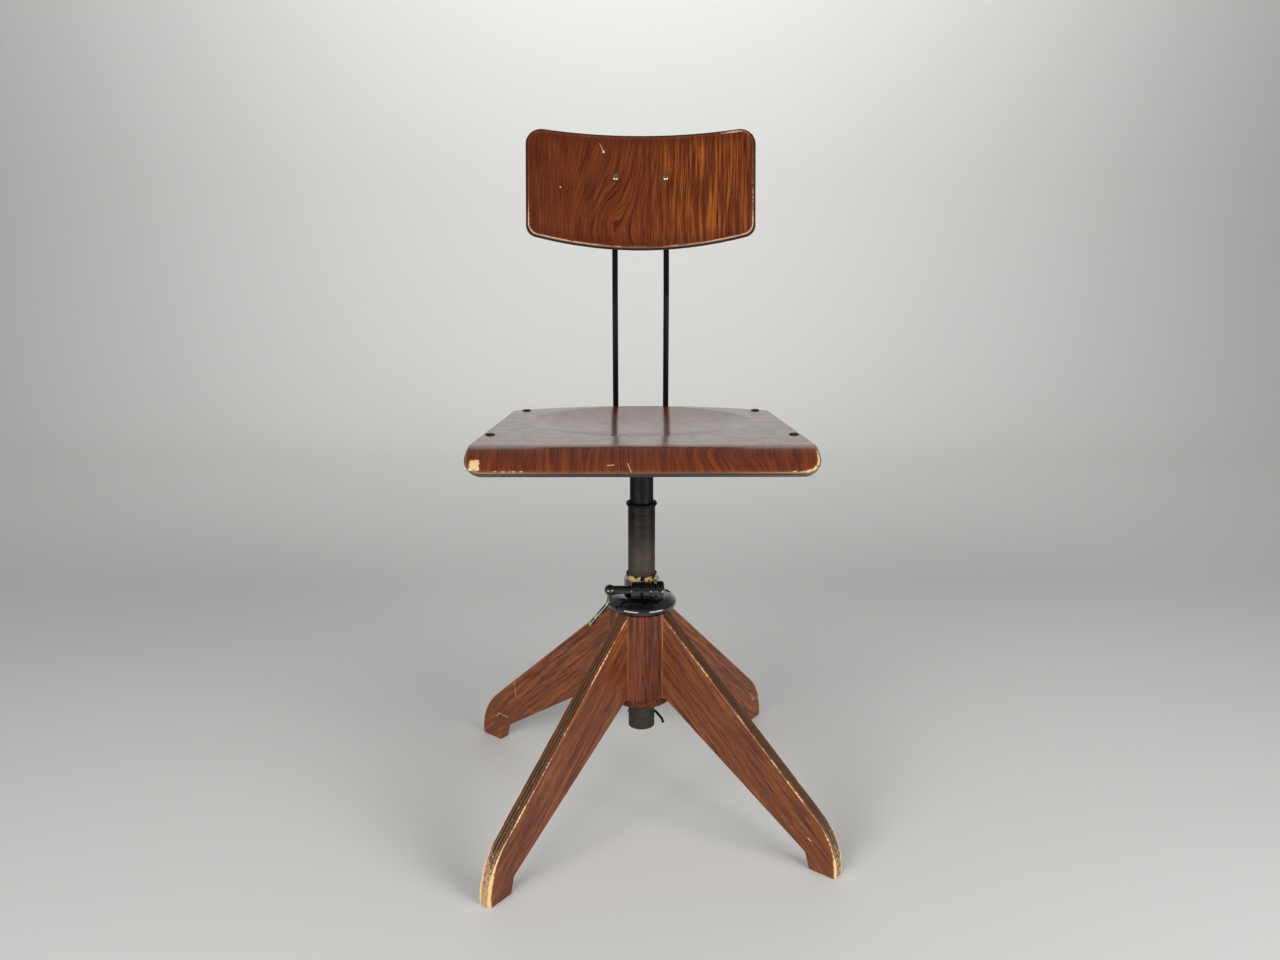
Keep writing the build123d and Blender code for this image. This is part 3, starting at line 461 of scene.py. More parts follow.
    # Wear: a thin line of bare wood on the arris, broken where a patchy noise is low, in a rubbed border.
    add(tree, "patch_scuffed", MATH, {0: "scuff:Fac", 1: 0.3, 2: "patchy:Fac"}, TIMES_PLUS)
    wear_from = look["wear_from"]
    add(tree, "patch_share", RANGE, {"Value": "patch_scuffed", LOW: wear_from, HIGH: wear_from + 0.3})
    widths = {0: "scuff:Fac", 1: look["scuff_width"], 2: look["wear_width"]}
    add(tree, "scuff_width", MATH, widths, TIMES_PLUS)
    add(tree, "wear_width", MATH, {0: "patch_share", 1: "scuff_width"}, TIMES)
    add(tree, "arris_far", MATH, {0: "arris:Fac"}, {"operation": "ABSOLUTE"})
    add(tree, "ragged", MATH, {0: "broken:Fac", 1: look["ragged"], 2: "arris_far"}, TIMES_PLUS)
    add(tree, "into_wear", MATH, {0: "wear_width", 1: "ragged"}, LESS)
    bare_from = -look["fleck"] * look["ragged"]
    add(tree, "line", RANGE, {"Value": "into_wear", LOW: bare_from, HIGH: bare_from + 0.45}, SMOOTH)
    border_ends = {"Value": "into_wear", LOW: bare_from - 3, HIGH: bare_from}
    add(tree, "border", RANGE, {**border_ends, FULL: look["border"]}, SMOOTH)

    # Scratches are short lines and chips small ragged boxes, each at its place on the board's seen side.
    add(tree, "ragged_chip", MATH, {0: "broken:Fac", 1: 1.8}, TIMES)
    marks = []
    for number, (start, end, half_width) in enumerate(look["scratches"]):
        stem = f"scratch_{number}_"
        way = Vector((*end, 0)) - Vector((*start, 0))
        add(tree, stem + "from", VECTOR, {0: "grain:Vector", 1: (*start, 0)}, LESS)
        add(tree, stem + "flat", VECTOR, {0: stem + "from", 1: (1, 1, 0)}, TIMES)
        unit = tuple(way / way.length_squared)
        add(tree, stem + "dot", VECTOR, {0: stem + "flat", 1: unit}, DOT)
        add(tree, stem + "part", "ShaderNodeClamp", {"Value": stem + "dot:Value"})
        add(tree, stem + "way", VECTOR, {0: tuple(way), "Scale": stem + "part"}, {"operation": "SCALE"})
        add(tree, stem + "gap", VECTOR, {0: stem + "flat", 1: stem + "way"}, {"operation": "DISTANCE"})
        ends = {LOW: half_width * 1.4, HIGH: half_width * 0.6, FULL: 0.75}
        add(tree, stem + "share", RANGE, {"Value": stem + "gap:Value", **ends})
        marks.append(stem + "share")
    for number, (middle, half) in enumerate(look["chips"]):
        stem = f"chip_{number}_"
        scale = (1 / half[0], 1 / half[1], 0)
        add(tree, stem + "from", VECTOR, {0: "grain:Vector", 1: (*middle, 0)}, LESS)
        add(tree, stem + "in", VECTOR, {0: stem + "from", 1: scale}, TIMES)
        add(tree, stem + "abs", VECTOR, {0: stem + "in"}, {"operation": "ABSOLUTE"})
        add(tree, stem + "split", SPLIT, {"Vector": stem + "abs"})
        add(tree, stem + "far", MATH, {0: stem + "split:X", 1: stem + "split:Y"}, MOST)
        add(tree, stem + "torn", MATH, {0: stem + "far", 1: "ragged_chip"}, PLUS)
        ends = {LOW: 1.96, HIGH: 1.84}
        add(tree, stem + "share", RANGE, {"Value": stem + "torn", **ends})
        marks.append(stem + "share")
    add(tree, "seen_side", MATH, {0: "place:Z", 1: look["seen_from"]}, {"operation": "GREATER_THAN"})
    worn = "line"
    for mark in marks:
        add(tree, mark + "_seen", MATH, {0: mark, 1: "seen_side"}, TIMES)
        add(tree, mark + "_worn", MATH, {0: worn, 1: mark + "_seen"}, MOST)
        worn = mark + "_worn"

    # Each colour is laid over the ones before it, by its share.
    over = solid(look["dark"])
    for share, colour in (
        ("tone_share", "mid"),
        ("light_share", "light"),
        ("darkest", "dark"),
        ("cut_side", "grime_and_shade"),
        ("bruise_share", "bare"),
        ("ply_share", "bare"),
        ("border", "rubbed"),
        (worn, "bare"),
    ):
        add(tree, share + "_colour", MIX, {"Factor": share, "A": over, "B": solid(look[colour])}, COLOURS)
        over = share + "_colour:Result"

    # The film is smooth on sound wood and dull on cut edges and where it is worn.
    film = {LOW: 0.3, HIGH: 0.7, LEAST: look["rough"] - 0.05, FULL: look["rough"] + 0.07}
    add(tree, "film_rough", RANGE, {"Value": "haze:Fac", **film})
    add(tree, "dull", MATH, {0: worn, 1: "cut_side"}, MOST)
    add(tree, "rough", MATH, {0: "dull", 1: 0.4, 2: "film_rough"}, TIMES_PLUS)
    add(tree, "height", MATH, {0: "pore_lines", 1: -0.6, 2: "fibres:Fac"}, TIMES_PLUS)
    add(tree, "height_worn", MATH, {0: worn, 1: -1.5, 2: "height"}, TIMES_PLUS)
    bump = {"Height": "height_worn", "Strength": 0.3, "Distance": look["bump"] * MM}
    add(tree, "bump", "ShaderNodeBump", bump)
    surface = {
        "Base Color": over,
        "Roughness": "rough",
        "Normal": "bump",
        "IOR": 1.5,
        "Specular IOR Level": look["specular"],
        "Coat Weight": look["coat"],
        "Coat Roughness": look["coat_rough"],
    }
    add(tree, "surface", "ShaderNodeBsdfPrincipled", surface)
    add(tree, "out", "ShaderNodeOutputMaterial", {"Surface": "surface"})
    return material


def wood_look(finish, stem, **values):
    """The values of a stained wood, with the finish's colours whose names start with this stem.

    Each wood gives its own wander, streak, band, light_least, wear_width, wear_from, border, rough and
    specular, and any of these that differ. Lengths are in millimetres.
    """
    look = {
        "dark": getattr(finish, stem + "_dark"),
        "mid": getattr(finish, stem + "_mid"),
        "light": getattr(finish, stem + "_light"),
        "bare": finish.bare,
        "rubbed": finish.rubbed,
        "grime_and_shade": finish.grime_and_shade,
        "swirl_at": (0, 0),
        "swirl_wide": 60,
        "swirl_long": 90,
        "swirl": 0,
        "fibre": 1.0,
        "fibre_share": 1.6,
        "pore": 1.1,
        "pore_depth": 0.5,
        "mottle": 0.35,
        "light_from": -1000,
        "light_to": -900,
        "ply": 3.7,
        "scuff_width": 0,
        "ragged": 1.0,
        "fleck": 0.5,
        "seen_from": -3,
        "scratches": [],
        "chips": [],
        "cut_dark": 0,
        "bruise": 0,
        "rim_dark": 0,
        "bump": 0.25,
        "coat": 0,
        "coat_rough": 0.2,
    }
    look.update(values)
    return look


def plain_finish(
    name, colour, other, *, share, metallic, rough, grit, spread=(1, 1, 1), worn=None, coat=0, specular=0.5
):
    """Paint or metal with a second tone in soft patches, grit in its gloss and, if worn, bared spots.

    A worn one has a zone between two heights in which the spots grow and the second tone takes over.
    """
    material, tree = new_material(name)
    add(tree, "coords", "ShaderNodeTexCoord")
    in_mm = tuple(s / MM for s in spread)
    add(tree, "placed", VECTOR, {0: "coords:Object", 1: in_mm}, TIMES)
    add(tree, "patches", NOISE, {"Vector": "placed", "Scale": 1 / 14, "Detail": 4})
    add(tree, "grit", NOISE, {"Vector": "placed", "Scale": 1 / grit, "Detail": 3})
    add(tree, "patch_share", RANGE, {"Value": "patches:Fac", LOW: 0.42, HIGH: 0.66, FULL: share})
    mixed = {"Factor": "patch_share", "A": solid(colour), "B": solid(other)}
    gloss = {LOW: 0.3, HIGH: 0.7, LEAST: rough * 0.75, FULL: rough * 1.35}
    add(tree, "gloss", RANGE, {"Value": "grit:Fac", **gloss})
    add(tree, "bump", "ShaderNodeBump", {"Height": "grit:Fac", "Strength": 0.2, "Distance": 0.1 * MM})
    links = {"Base Color": "colour:Result", "Roughness": "gloss", "Normal": "bump", "Metallic": metallic}
    links.update({"Coat Weight": coat, "Coat Roughness": 0.05, "Specular IOR Level": specular})
    if worn:
        add(tree, "split", SPLIT, {"Vector": "coords:Object"})
        ends = {"Value": "split:Z", LOW: worn["from"] * MM, HIGH: worn["to"] * MM}
        add(tree, "zone", RANGE, ends, SMOOTH)
        clamped = {**TIMES_PLUS, "use_clamp": True}
        add(tree, "faded", MATH, {0: "zone", 1: worn["fade"], 2: "patch_share"}, clamped)
        mixed["Factor"] = "faded"
        spots = {"Vector": "placed", "Scale": 1 / worn["spot"], "Detail": 5, "Roughness": 0.6}
        add(tree, "spots", NOISE, spots)
        add(tree, "spot_level", MATH, {0: "zone", 1: worn["more"], 2: "spots:Fac"}, TIMES_PLUS)
        bared = {"Value": "spot_level", LOW: worn["level"], HIGH: worn["level"] + 0.05}
        add(tree, "bared", RANGE, bared, SMOOTH)
    add(tree, "colour", MIX, mixed, COLOURS)
    if worn:
        bared = {"Factor": "bared", "A": "colour:Result", "B": solid(worn["colour"])}
        add(tree, "worn_colour", MIX, bared, COLOURS)
        add(tree, "worn_gloss", MATH, {0: "bared", 1: 0.25, 2: "gloss"}, TIMES_PLUS)
        links.update({"Base Color": "worn_colour:Result", "Roughness": "worn_gloss"})
    add(tree, "surface", "ShaderNodeBsdfPrincipled", links)
    add(tree, "out", "ShaderNodeOutputMaterial", {"Surface": "surface"})
    return material


# Geometry node trees


def new_tree(name, *lengths):
    tree = bpy.data.node_groups.new(name, "GeometryNodeTree")
    tree.interface.new_socket("Geometry", in_out="INPUT", socket_type="NodeSocketGeometry")
    for label in lengths:
        tree.interface.new_socket(label, in_out="INPUT", socket_type="NodeSocketFloat")
    tree.interface.new_socket("Material", in_out="INPUT", socket_type="NodeSocketMaterial")
    tree.interface.new_socket("Geometry", in_out="OUTPUT", socket_type="NodeSocketGeometry")
    tree.nodes.new("NodeGroupInput").name = "in"
    return tree


def paint_tree(tree, source):
    """Gives what a node made its material, and ends the tree with it."""
    add(tree, "real", "GeometryNodeRealizeInstances", {"Geometry": source})
    add(tree, "painted", "GeometryNodeSetMaterial", {"Geometry": "real", "Material": "in:Material"})
    add(tree, "out", "NodeGroupOutput", {"Geometry": "painted"})


def fastener_tree():
    """A domed head on a round shank, set at each point and turned by its way attribute."""
    tree = new_tree("Domed fasteners", "Head Radius", "Head Height", "Shank Radius", "Shank Length")
    add(tree, "ball", "GeometryNodeMeshUVSphere", {"Segments": 32, "Rings": 24, "Radius": "in:Head Radius"})
    add(tree, "at", "GeometryNodeInputPosition")
    add(tree, "split", SPLIT, {"Vector": "at"})
    add(tree, "flatness", MATH, {0: "in:Head Height", 1: "in:Head Radius"}, {"operation": "DIVIDE"})
    add(tree, "above", MATH, {0: "split:Z", 1: 0}, MOST)
    add(tree, "dome", MATH, {0: "above", 1: "flatness"}, TIMES)
    add(tree, "joined", JOIN, {"X": "split:X", "Y": "split:Y", "Z": "dome"})
    add(tree, "head", "GeometryNodeSetPosition", {"Geometry": "ball", "Position": "joined"})
    bar = {"Vertices": 24, "Radius": "in:Shank Radius", "Depth": "in:Shank Length"}
    add(tree, "bar", "GeometryNodeMeshCylinder", bar)
    add(tree, "half", MATH, {0: "in:Shank Length", 1: -0.5}, TIMES)
    add(tree, "down", JOIN, {"Z": "half"})
    add(tree, "shank", "GeometryNodeTransform", {"Geometry": "bar", "Translation": "down"})
    add(tree, "whole", "GeometryNodeJoinGeometry", {"Geometry": "head"})
    tree.links.new(tree.nodes["shank"].outputs[0], tree.nodes["whole"].inputs[0])
    add(tree, "smooth", "GeometryNodeSetShadeSmooth", {"Geometry": "whole"})
    add(tree, "way", "GeometryNodeInputNamedAttribute", None, {"data_type": "FLOAT_VECTOR"})
    tree.nodes["way"].inputs["Name"].default_value = "way"
    spread = {"Points": "in:Geometry", "Instance": "smooth", "Rotation": "way:Attribute"}
    add(tree, "spread", "GeometryNodeInstanceOnPoints", spread)
    paint_tree(tree, "spread")
    return tree


def spring_tree():
    """A round wire wound into a coil, standing on the object's origin."""
    tree = new_tree("Coil spring", "Turns", "Coil Radius", "Coil Height", "Wire Radius")
    coil = {
        "Resolution": 48,
        "Rotations": "in:Turns",
        "Start Radius": "in:Coil Radius",
        "End Radius": "in:Coil Radius",
        "Height": "in:Coil Height",
    }
    add(tree, "coil", "GeometryNodeCurveSpiral", coil)
    add(tree, "wire", "GeometryNodeCurvePrimitiveCircle", {"Resolution": 16, "Radius": "in:Wire Radius"})
    wound = {"Curve": "coil", "Profile Curve": "wire", "Fill Caps": True}
    add(tree, "wound", "GeometryNodeCurveToMesh", wound)
    add(tree, "smooth", "GeometryNodeSetShadeSmooth", {"Geometry": "wound"})
    paint_tree(tree, "smooth")
    return tree


def grown(name, tree, points, ways, values):
    """Runs a tree on a cloud of points and returns its result as a plain mesh."""
    cloud = bpy.data.meshes.new(name + "_points")
    cloud.from_pydata([tuple(point) for point in points], [], [])
    layer = cloud.attributes.new("way", "FLOAT_VECTOR", "POINT")
    layer.data.foreach_set("vector", np.array([tuple(way) for way in ways], np.float32).ravel())
    holder = bpy.data.objects.new(name + "_holder", cloud)
    bpy.context.scene.collection.objects.link(holder)
    modifier = holder.modifiers.new("nodes", "NODES")
    modifier.node_group = tree
    for item in tree.interface.items_tree:
        if item.in_out == "INPUT" and item.name in values:
            modifier[item.identifier] = values[item.name]
    bpy.context.view_layer.update()
    evaluated = holder.evaluated_get(bpy.context.evaluated_depsgraph_get())
    mesh = bpy.data.meshes.new_from_object(evaluated)
    mesh.name = name
    holder.modifiers.clear()
    bpy.data.objects.remove(holder)
    if not mesh.polygons:
        raise RuntimeError(f"{name}: the node tree made no faces")
    return mesh


# Where the pieces are, in millimetres


def seat_place():
    return Matrix.Translation((0, 0, SEAT_HEIGHT)) @ Matrix.Rotation(SEAT_TILT, 4, "X")


def back_place():
    lean = Matrix.Rotation(BACK_LEAN, 4, "X")
    return Matrix.Translation(BACK_PLACE) @ lean @ Matrix.Translation(BACK_SHIFT)


def on_back(side):
    """From the backrest's centre of curvature to one of the rods, with +Z towards the sitter."""
    turn = Matrix.Rotation(-side * ROD_TURN, 4, "Z")
    out = Matrix.Translation((0, BACK_RADIUS - BOLT_LIFT, 0)) @ Matrix.Rotation(math.radians(90), 4, "X")
    return back_place() @ Matrix.Translation((0, -BACK_RADIUS, 0)) @ turn @ out


def spots_of(places):
    """Points in metres and turns of a list of places in millimetres."""
    points = [place.translation * MM for place in places]
    ways = [place.to_euler() for place in places]
    return points, ways


class CHAIR_OT_legs(bpy.types.Operator):
    """Four board legs of stained wood, rubbed bare along their upper arrises and scuffed at the toes"""

    bl_idname = "chair.legs"
    bl_label = "Legs"

    def execute(self, context):
        # Sawn board under a rubbed stain: fine straight grain, dark narrow edges, pale bruised toes.
        look = wood_look(
            finish_of(context), "leg", wander=8, streak=1.4, band=4, fibre=1.1, fibre_share=2.2,
            pore_depth=0.75, light_least=0.25, wear_width=0.5, scuff_width=3.6, wear_from=0.46, ragged=4.5,
            border=0.3, cut_dark=0.75, ply=4.3, bruise=0.7, seen_from=0, rough=0.33, specular=0.3,
        )
        # A long scratch and some nicks on the rear legs, and a knock at one front toe
        look["scratches"] = [
            ((530.4, 1326.6), (503.2, 1346.4), 0.3),
            ((499.1, 1399.8), (486.0, 1386.1), 0.4),
            ((497.3, 1407.5), (499.5, 1399), 0.4),
            ((408.9, 986.3), (405.5, 1010), 0.4),
            ((401.0, 1002.3), (411, 1010), 0.4),
            ((302.0, 577.6), (303.0, 582.4), 0.8),
        ]
        material = stained_wood("stained_beech_legs", look)
        for step, (name, turn) in enumerate(LEG_TURNS.items()):
            mesh = close_copy("leg_" + name, context.scene.chair_sizes.grain_step)
            self.wear(mesh, turn, step, {"front_left": 1.0, "front_right": 0.75}.get(name, 0.35))
            new_piece(f"finished_leg_{name}", mesh, material, "base", "leg_wood", "leg_" + name)
        return {"FINISHED"}

    @staticmethod
    def wear(mesh, turn, step, worn):
        """Lays one leg's grain, each from another stretch of the board, and its wear."""
        out, side, up = points_in(mesh, Matrix.Rotation(math.radians(turn), 4, "Z")).T
        along = out * math.cos(LEG_SLOPE) - up * math.sin(LEG_SLOPE)
        across = out * math.sin(LEG_SLOPE) + up * math.cos(LEG_SLOPE)
        # The side that faces the front has the scratches. It is the +side of the left legs.
        seen = side if step in (0, 3) else -side
        line = -((out - LEG_TOP_OUT) * math.sin(LEG_SLOPE) + (up - LEG_TOP_UP) * math.cos(LEG_SLOPE))
        circle = TOE_RADIUS - np.hypot(out - TOE_OUT, up - TOE_UP)
        on_toe = np.arctan2(up - TOE_UP, out - TOE_OUT) < TOE_END
        from_top = np.where(on_toe, circle, line)
        from_side = LEG_HALF - np.abs(side)
        # The narrow upper face is the cut side of the board.
        arris = np.where(from_side > from_top, -from_side, np.maximum(from_top, 0))
        toe = ramp(up, 70, 10) * ramp(out, 225, 265)
        scuff = worn * (0.25 + 0.2 * ramp(up, 200, 50) + 0.55 * toe)
        lay(mesh, across + 97 * step, along + 410 * step, seen, arris, scuff)


class CHAIR_OT_hub(bpy.types.Operator):
    """The turned hub between the legs and the turned ring under it"""

    bl_idname = "chair.hub"
    bl_label = "Hub and ring"

    def execute(self, context):
        # Turned on a lathe and stained: upright grain round the drum under a dull film.
        look = wood_look(
            finish_of(context), "hub", wander=6, streak=3, band=14, light_least=0.6, wear_width=0.7,
            wear_from=0.4, border=0.5, rough=0.35, specular=0.1,
        )
        material = stained_wood("stained_beech_turned", look)
        step = context.scene.chair_sizes.grain_step
        mesh = close_copy("hub_core", step)
        x, y, z = points_in(mesh, Matrix.Identity(4)).T
        turn = np.arctan2(y, x)
        turns = [np.abs((np.degrees(turn) - leg + 180) % 360 - 180) for leg in LEG_TURNS.values()]
        from_slot = np.radians(np.min(turns, axis=0)) * HUB_RADIUS - SLOT_HALF
        lay(mesh, turn * HUB_RADIUS, z, np.hypot(x, y), np.maximum(from_slot, 0), np.zeros(len(x)))
        new_piece("finished_hub_core", mesh, material, "base", "hub_wood", "hub_core")
        mesh = close_copy("hub_base_ring", step)
        x, y, z = points_in(mesh, Matrix.Identity(4)).T
        lay(mesh, y, x + 500, z, np.full(len(x), 20.0), np.zeros(len(x)))
        new_piece("finished_hub_base_ring", mesh, material, "base", "hub_wood", "hub_base_ring")
        return {"FINISHED"}


class CHAIR_OT_seat(bpy.types.Operator):
    """The moulded plywood seat, lacquered, chipped at one corner and rubbed along its front edge"""

    bl_idname = "chair.seat"
    bl_label = "Seat"

    def execute(self, context):
        # Pressed plywood under thick lacquer: a smooth skin that mirrors the light from behind.
        # The cut edge round the seat is painted dark, as old lacquer and as painted shade where the edge
        # turns down.
        look = wood_look(
            finish_of(context), "seat", wander=16, streak=1.8, band=9, fibre=1.3, pore_depth=0.4, mottle=0.2,
            swirl_at=(90, -178), swirl_wide=48, swirl_long=22, swirl=16, light_least=0.3, wear_width=0.3,
            scuff_width=2.2, wear_from=0.5, ragged=6, fleck=0.36, border=0.2, cut_dark=1, rough=0.22,
            specular=0.4, coat=0.35, coat_rough=0.12,
        )
        look["scratches"] = [((-38, -193.5), (-31, -193), 0.5), ((-16.5, -191), (-12.5, -201.5), 0.4)]
        look["chips"] = [((-182, -192.5), (5.2, 7))]
        material = stained_wood("stained_plywood_seat", look)
        mesh = close_copy("seat_shell", context.scene.chair_sizes.grain_step)
        x, y, z = points_in(mesh, seat_place()).T
        rolled = y < SEAT_BEND
        turn = np.where(rolled, np.arctan2(SEAT_BEND - y, z + SEAT_ROLL), 0)
        along = np.where(rolled, SEAT_BEND - turn * SEAT_ROLL, y)
        through = np.where(rolled, np.hypot(y - SEAT_BEND, z + SEAT_ROLL) - SEAT_ROLL, z)
        taper = (SEAT_HALF_FRONT - SEAT_HALF_REAR) / (SEAT_TAPER_END - SEAT_BEND)
        side = (SEAT_HALF_FRONT - taper * (y - SEAT_BEND) - np.abs(x)) * math.cos(math.atan(taper))
        from_rear = SEAT_REAR_ARC - np.hypot(x, y - SEAT_REAR_CENTRE)
        from_lip = np.where(rolled, (SEAT_ROLL_END - turn) * SEAT_ROLL, FAR)
        rear = round_corner(side, from_rear, SEAT_REAR_CORNER)
        front = round_corner(side, from_lip, SEAT_FRONT_CORNER)
        corner = ramp(np.abs(x), 90, 170)
        scuff = ramp(y, SEAT_BEND, SEAT_BEND - 30) * (0.1 + 0.35 * corner + 0.3 * corner * (x > 0))
        lay(mesh, x, along, through, np.minimum(rear, front) - SEAT_EDGE, scuff)
        new_piece("finished_seat_shell", mesh, material, "seat", "seat_plywood", "seat_shell")
        return {"FINISHED"}


class CHAIR_OT_backrest(bpy.types.Operator):
    """The curved plywood backrest, with a swirl in its veneer and a pale line round its front, rubbed wood
    with a painted highlight
    """

    bl_idname = "chair.backrest"
    bl_label = "Backrest"

    def execute(self, context):
        finish = finish_of(context)
        # Pressed plywood under a thin film: lively grain with light streaks, and a darker rim. The pale line
        # round its front is partly rubbed wood and partly a painted highlight.
        # The backrest's cut edge is painted dark, as old lacquer and as painted shade on its rounded rim.
        look = wood_look(
            finish, "back", wander=16, streak=1.4, band=5, fibre=1.3, pore_depth=0.6, swirl_at=(-62, -75),
            swirl_wide=46, swirl_long=80, swirl=46, light_from=-10, light_to=70, light_least=0.15,
            wear_width=0.2, scuff_width=0.8, wear_from=0.42, ragged=1.8, fleck=0.45, border=0.1, cut_dark=1,
            rim_dark=0.55, rough=0.3, specular=0.2, bare=finish.back_worn,
        )
        look["scratches"] = [((-57, 45), (-52, 35), 0.45)]
        look["chips"] = [((-51.5, 34), (1.8, 1.6)), ((-112, -18), (1, 1))]
        material = stained_wood("stained_plywood_back", look)
        mesh = close_copy("backrest_shell", context.scene.chair_sizes.grain_step)
        x, y, along = points_in(mesh, back_place()).T
        across = np.arctan2(x, y + BACK_RADIUS) * BACK_RADIUS
        through = BACK_RADIUS - np.hypot(x, y + BACK_RADIUS)
        bow = (x / BACK_HALF) ** 2
        side = BACK_HALF - np.abs(x)
        top = BACK_TOP + BACK_TOP_BOW * bow - along
        bottom = along + BACK_FOOT - BACK_FOOT_BOW * bow
        upper = round_corner(side, top, BACK_TOP_CORNER)
        lower = round_corner(side, bottom, BACK_FOOT_CORNER)
        outward = ramp(np.abs(x), 0, 120)
        chipped = ramp(np.hypot(x - 128, along - 56), 22, 0)
        scuff = 0.05 + ramp(along, 20, -70) * (0.25 + 0.6 * outward) + 1.2 * chipped
        lay(mesh, across, along, through, np.minimum(upper, lower) - BACK_EDGE, scuff)
        new_piece("finished_backrest_shell", mesh, material, "back", "back_plywood", "backrest_shell")
        return {"FINISHED"}


class CHAIR_OT_fasteners(bpy.types.Operator):
    """Domed bolts of the seat and the back"""

    bl_idname = "chair.fasteners"
    bl_label = "Bolts"

    def execute(self, context):
        finish = finish_of(context)
        sizes = context.scene.chair_sizes
        tree = fastener_tree()
        # Headed steel, browned by heat: dark domes with a soft gleam.
        brown = plain_finish(
            "browned_steel_bolts", finish.bolt_brown, finish.grime_and_shade, share=0.6, metallic=0.3, rough=0.4, grit=2
        )
        # Nickel plate, worn yellow in patches: bright domes with small sharp lights.
        bright = plain_finish(
            "nickelled_steel_bolts", finish.bright, finish.enamel_worn,
            share=0.5, metallic=1, rough=0.24, grit=2,
        )
        spots = [(side * x, y) for x, y in SEAT_BOLTS for side in (-1, 1)]
        places = [seat_place() @ Matrix.Translation((x, y, BOLT_LIFT)) for x, y in spots]
        values = {
            "Head Radius": sizes.seat_bolt_radius,
            "Head Height": sizes.seat_bolt_height,
            "Shank Radius": 3 * MM,
            "Shank Length": 22.5 * MM,
            "Material": brown,
        }
        mesh = grown("seat_bolt_heads", tree, *spots_of(places), values)
        new_piece("finished_seat_bolts", mesh, brown, "seat", "seat_bolt_steel", "seat_bolts")
        values = {
            "Head Radius": sizes.back_bolt_radius,
            "Head Height": sizes.back_bolt_height,
            "Shank Radius": 2.5 * MM,
            "Shank Length": 18 * MM,
            "Material": bright,
        }
        mesh = grown("back_bolt_heads", tree, *spots_of([on_back(side) for side in (-1, 1)]), values)
        new_piece("finished_backrest_bolts", mesh, bright, "back", "bright_steel", "backrest_bolts")
        dress(bright, "backrest_nuts")
        return {"FINISHED"}


class CHAIR_OT_spring(bpy.types.Operator):
    """The coil spring inside the column, wound at one fixed length"""

    bl_idname = "chair.spring"
    bl_label = "Spring"

    def execute(self, context):
        finish = finish_of(context)
        sizes = context.scene.chair_sizes
        low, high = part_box("column_spring")
        # Drawn wire kept in oil: dark grey with a wet gleam along each turn.
        steel = plain_finish(
            "oiled_spring_steel", finish.plain, finish.steel_brown, share=0.6, metallic=1, rough=0.35, grit=3
        )
        values = {
            "Turns": float(sizes.spring_turns),
            "Coil Radius": (high.x - low.x) / 2 - sizes.spring_wire,
            "Coil Height": high.z - low.z - 2 * sizes.spring_wire,
            "Wire Radius": sizes.spring_wire,
            "Material": steel,
        }
        mesh = grown("spring_wire", spring_tree(), [Vector((0, 0, 0))], [Vector((0, 0, 0))], values)
        mesh.transform(Matrix.Translation((0, 0, low.z + sizes.spring_wire)))
        piece = new_piece("finished_column_spring", mesh, steel, "column", "plain_steel", "column_spring")
        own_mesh(piece)
        return {"FINISHED"}


class CHAIR_OT_clamp(bpy.types.Operator):
    """The domed collar, the clamp with its nut and screw, and the worn lever"""

    bl_idname = "chair.clamp"
    bl_label = "Collar and clamp"

    def execute(self, context):
        finish = finish_of(context)
        # Stoved enamel flows out smooth, so lamps stand in it as sharp white shapes.
        enamel = plain_finish(
            "black_stoved_enamel", finish.enamel, finish.spindle,
            share=0.7, metallic=0, rough=0.13, grit=4, coat=0.8,
        )
        # Hands have worn the lever's enamel through to yellow metal, most of all below the elbow.
        worn = {"spot": 6, "from": 310, "to": 285, "more": 0.14, "level": 0.68, "fade": 0}
        worn["colour"] = finish.enamel_worn
        lever = plain_finish(
            "worn_enamel_lever", finish.enamel, finish.spindle,
            share=0.7, metallic=0, rough=0.2, grit=4, worn=worn, coat=0.5,
        )
        dress(enamel, "collar", "clamp_ring", "clamp_nut", "clamp_screw")
        dress(lever, "clamp_lever")
        return {"FINISHED"}


class CHAIR_OT_column(bpy.types.Operator):
    """The guide sleeve, the column tube with its ring and stop pin, and the spindle"""

    bl_idname = "chair.column"
    bl_label = "Sleeve, column and spindle"

    def execute(self, context):
        finish = finish_of(context)
        # The drawn brass sleeve is painted black, and the paint is chipped off its flared lip.
        worn = {"spot": 10, "from": 315, "to": 320, "more": 0.12, "level": 0.58, "fade": 0}
        worn["colour"] = finish.brass
        sleeve = plain_finish(
            "chipped_black_brass", finish.enamel, finish.steel_brown,
            share=0.8, metallic=0, rough=0.4, grit=3, worn=worn, specular=0.25,
        )
        # Drawn steel tube, browned: sliding has rubbed its lower stretch grey, with fine marks across it.
        worn = {"spot": 3, "from": 400, "to": 345, "more": 0.04, "level": 0.61, "fade": 0.75}
        worn["colour"] = finish.rust
        column = plain_finish(
            "browned_steel_tube", finish.steel_brown, finish.steel_grey,
            share=0.2, metallic=0.05, rough=0.45, grit=2, spread=(0.25, 0.25, 1.6), worn=worn, specular=0.08,
        )
        # Flat brushed-on paint, a little streaky along the tube
        paint = plain_finish(
            "flat_black_paint", finish.spindle, finish.steel_brown,
            share=0.4, metallic=0, rough=0.5, grit=2, spread=(1, 1, 0.2), specular=0.1,
        )
        dress(sleeve, "guide_sleeve")
        dress(column, "column_tube")
        dress(paint, "column_ring", "spindle_tube", "stop_pin")
        return {"FINISHED"}


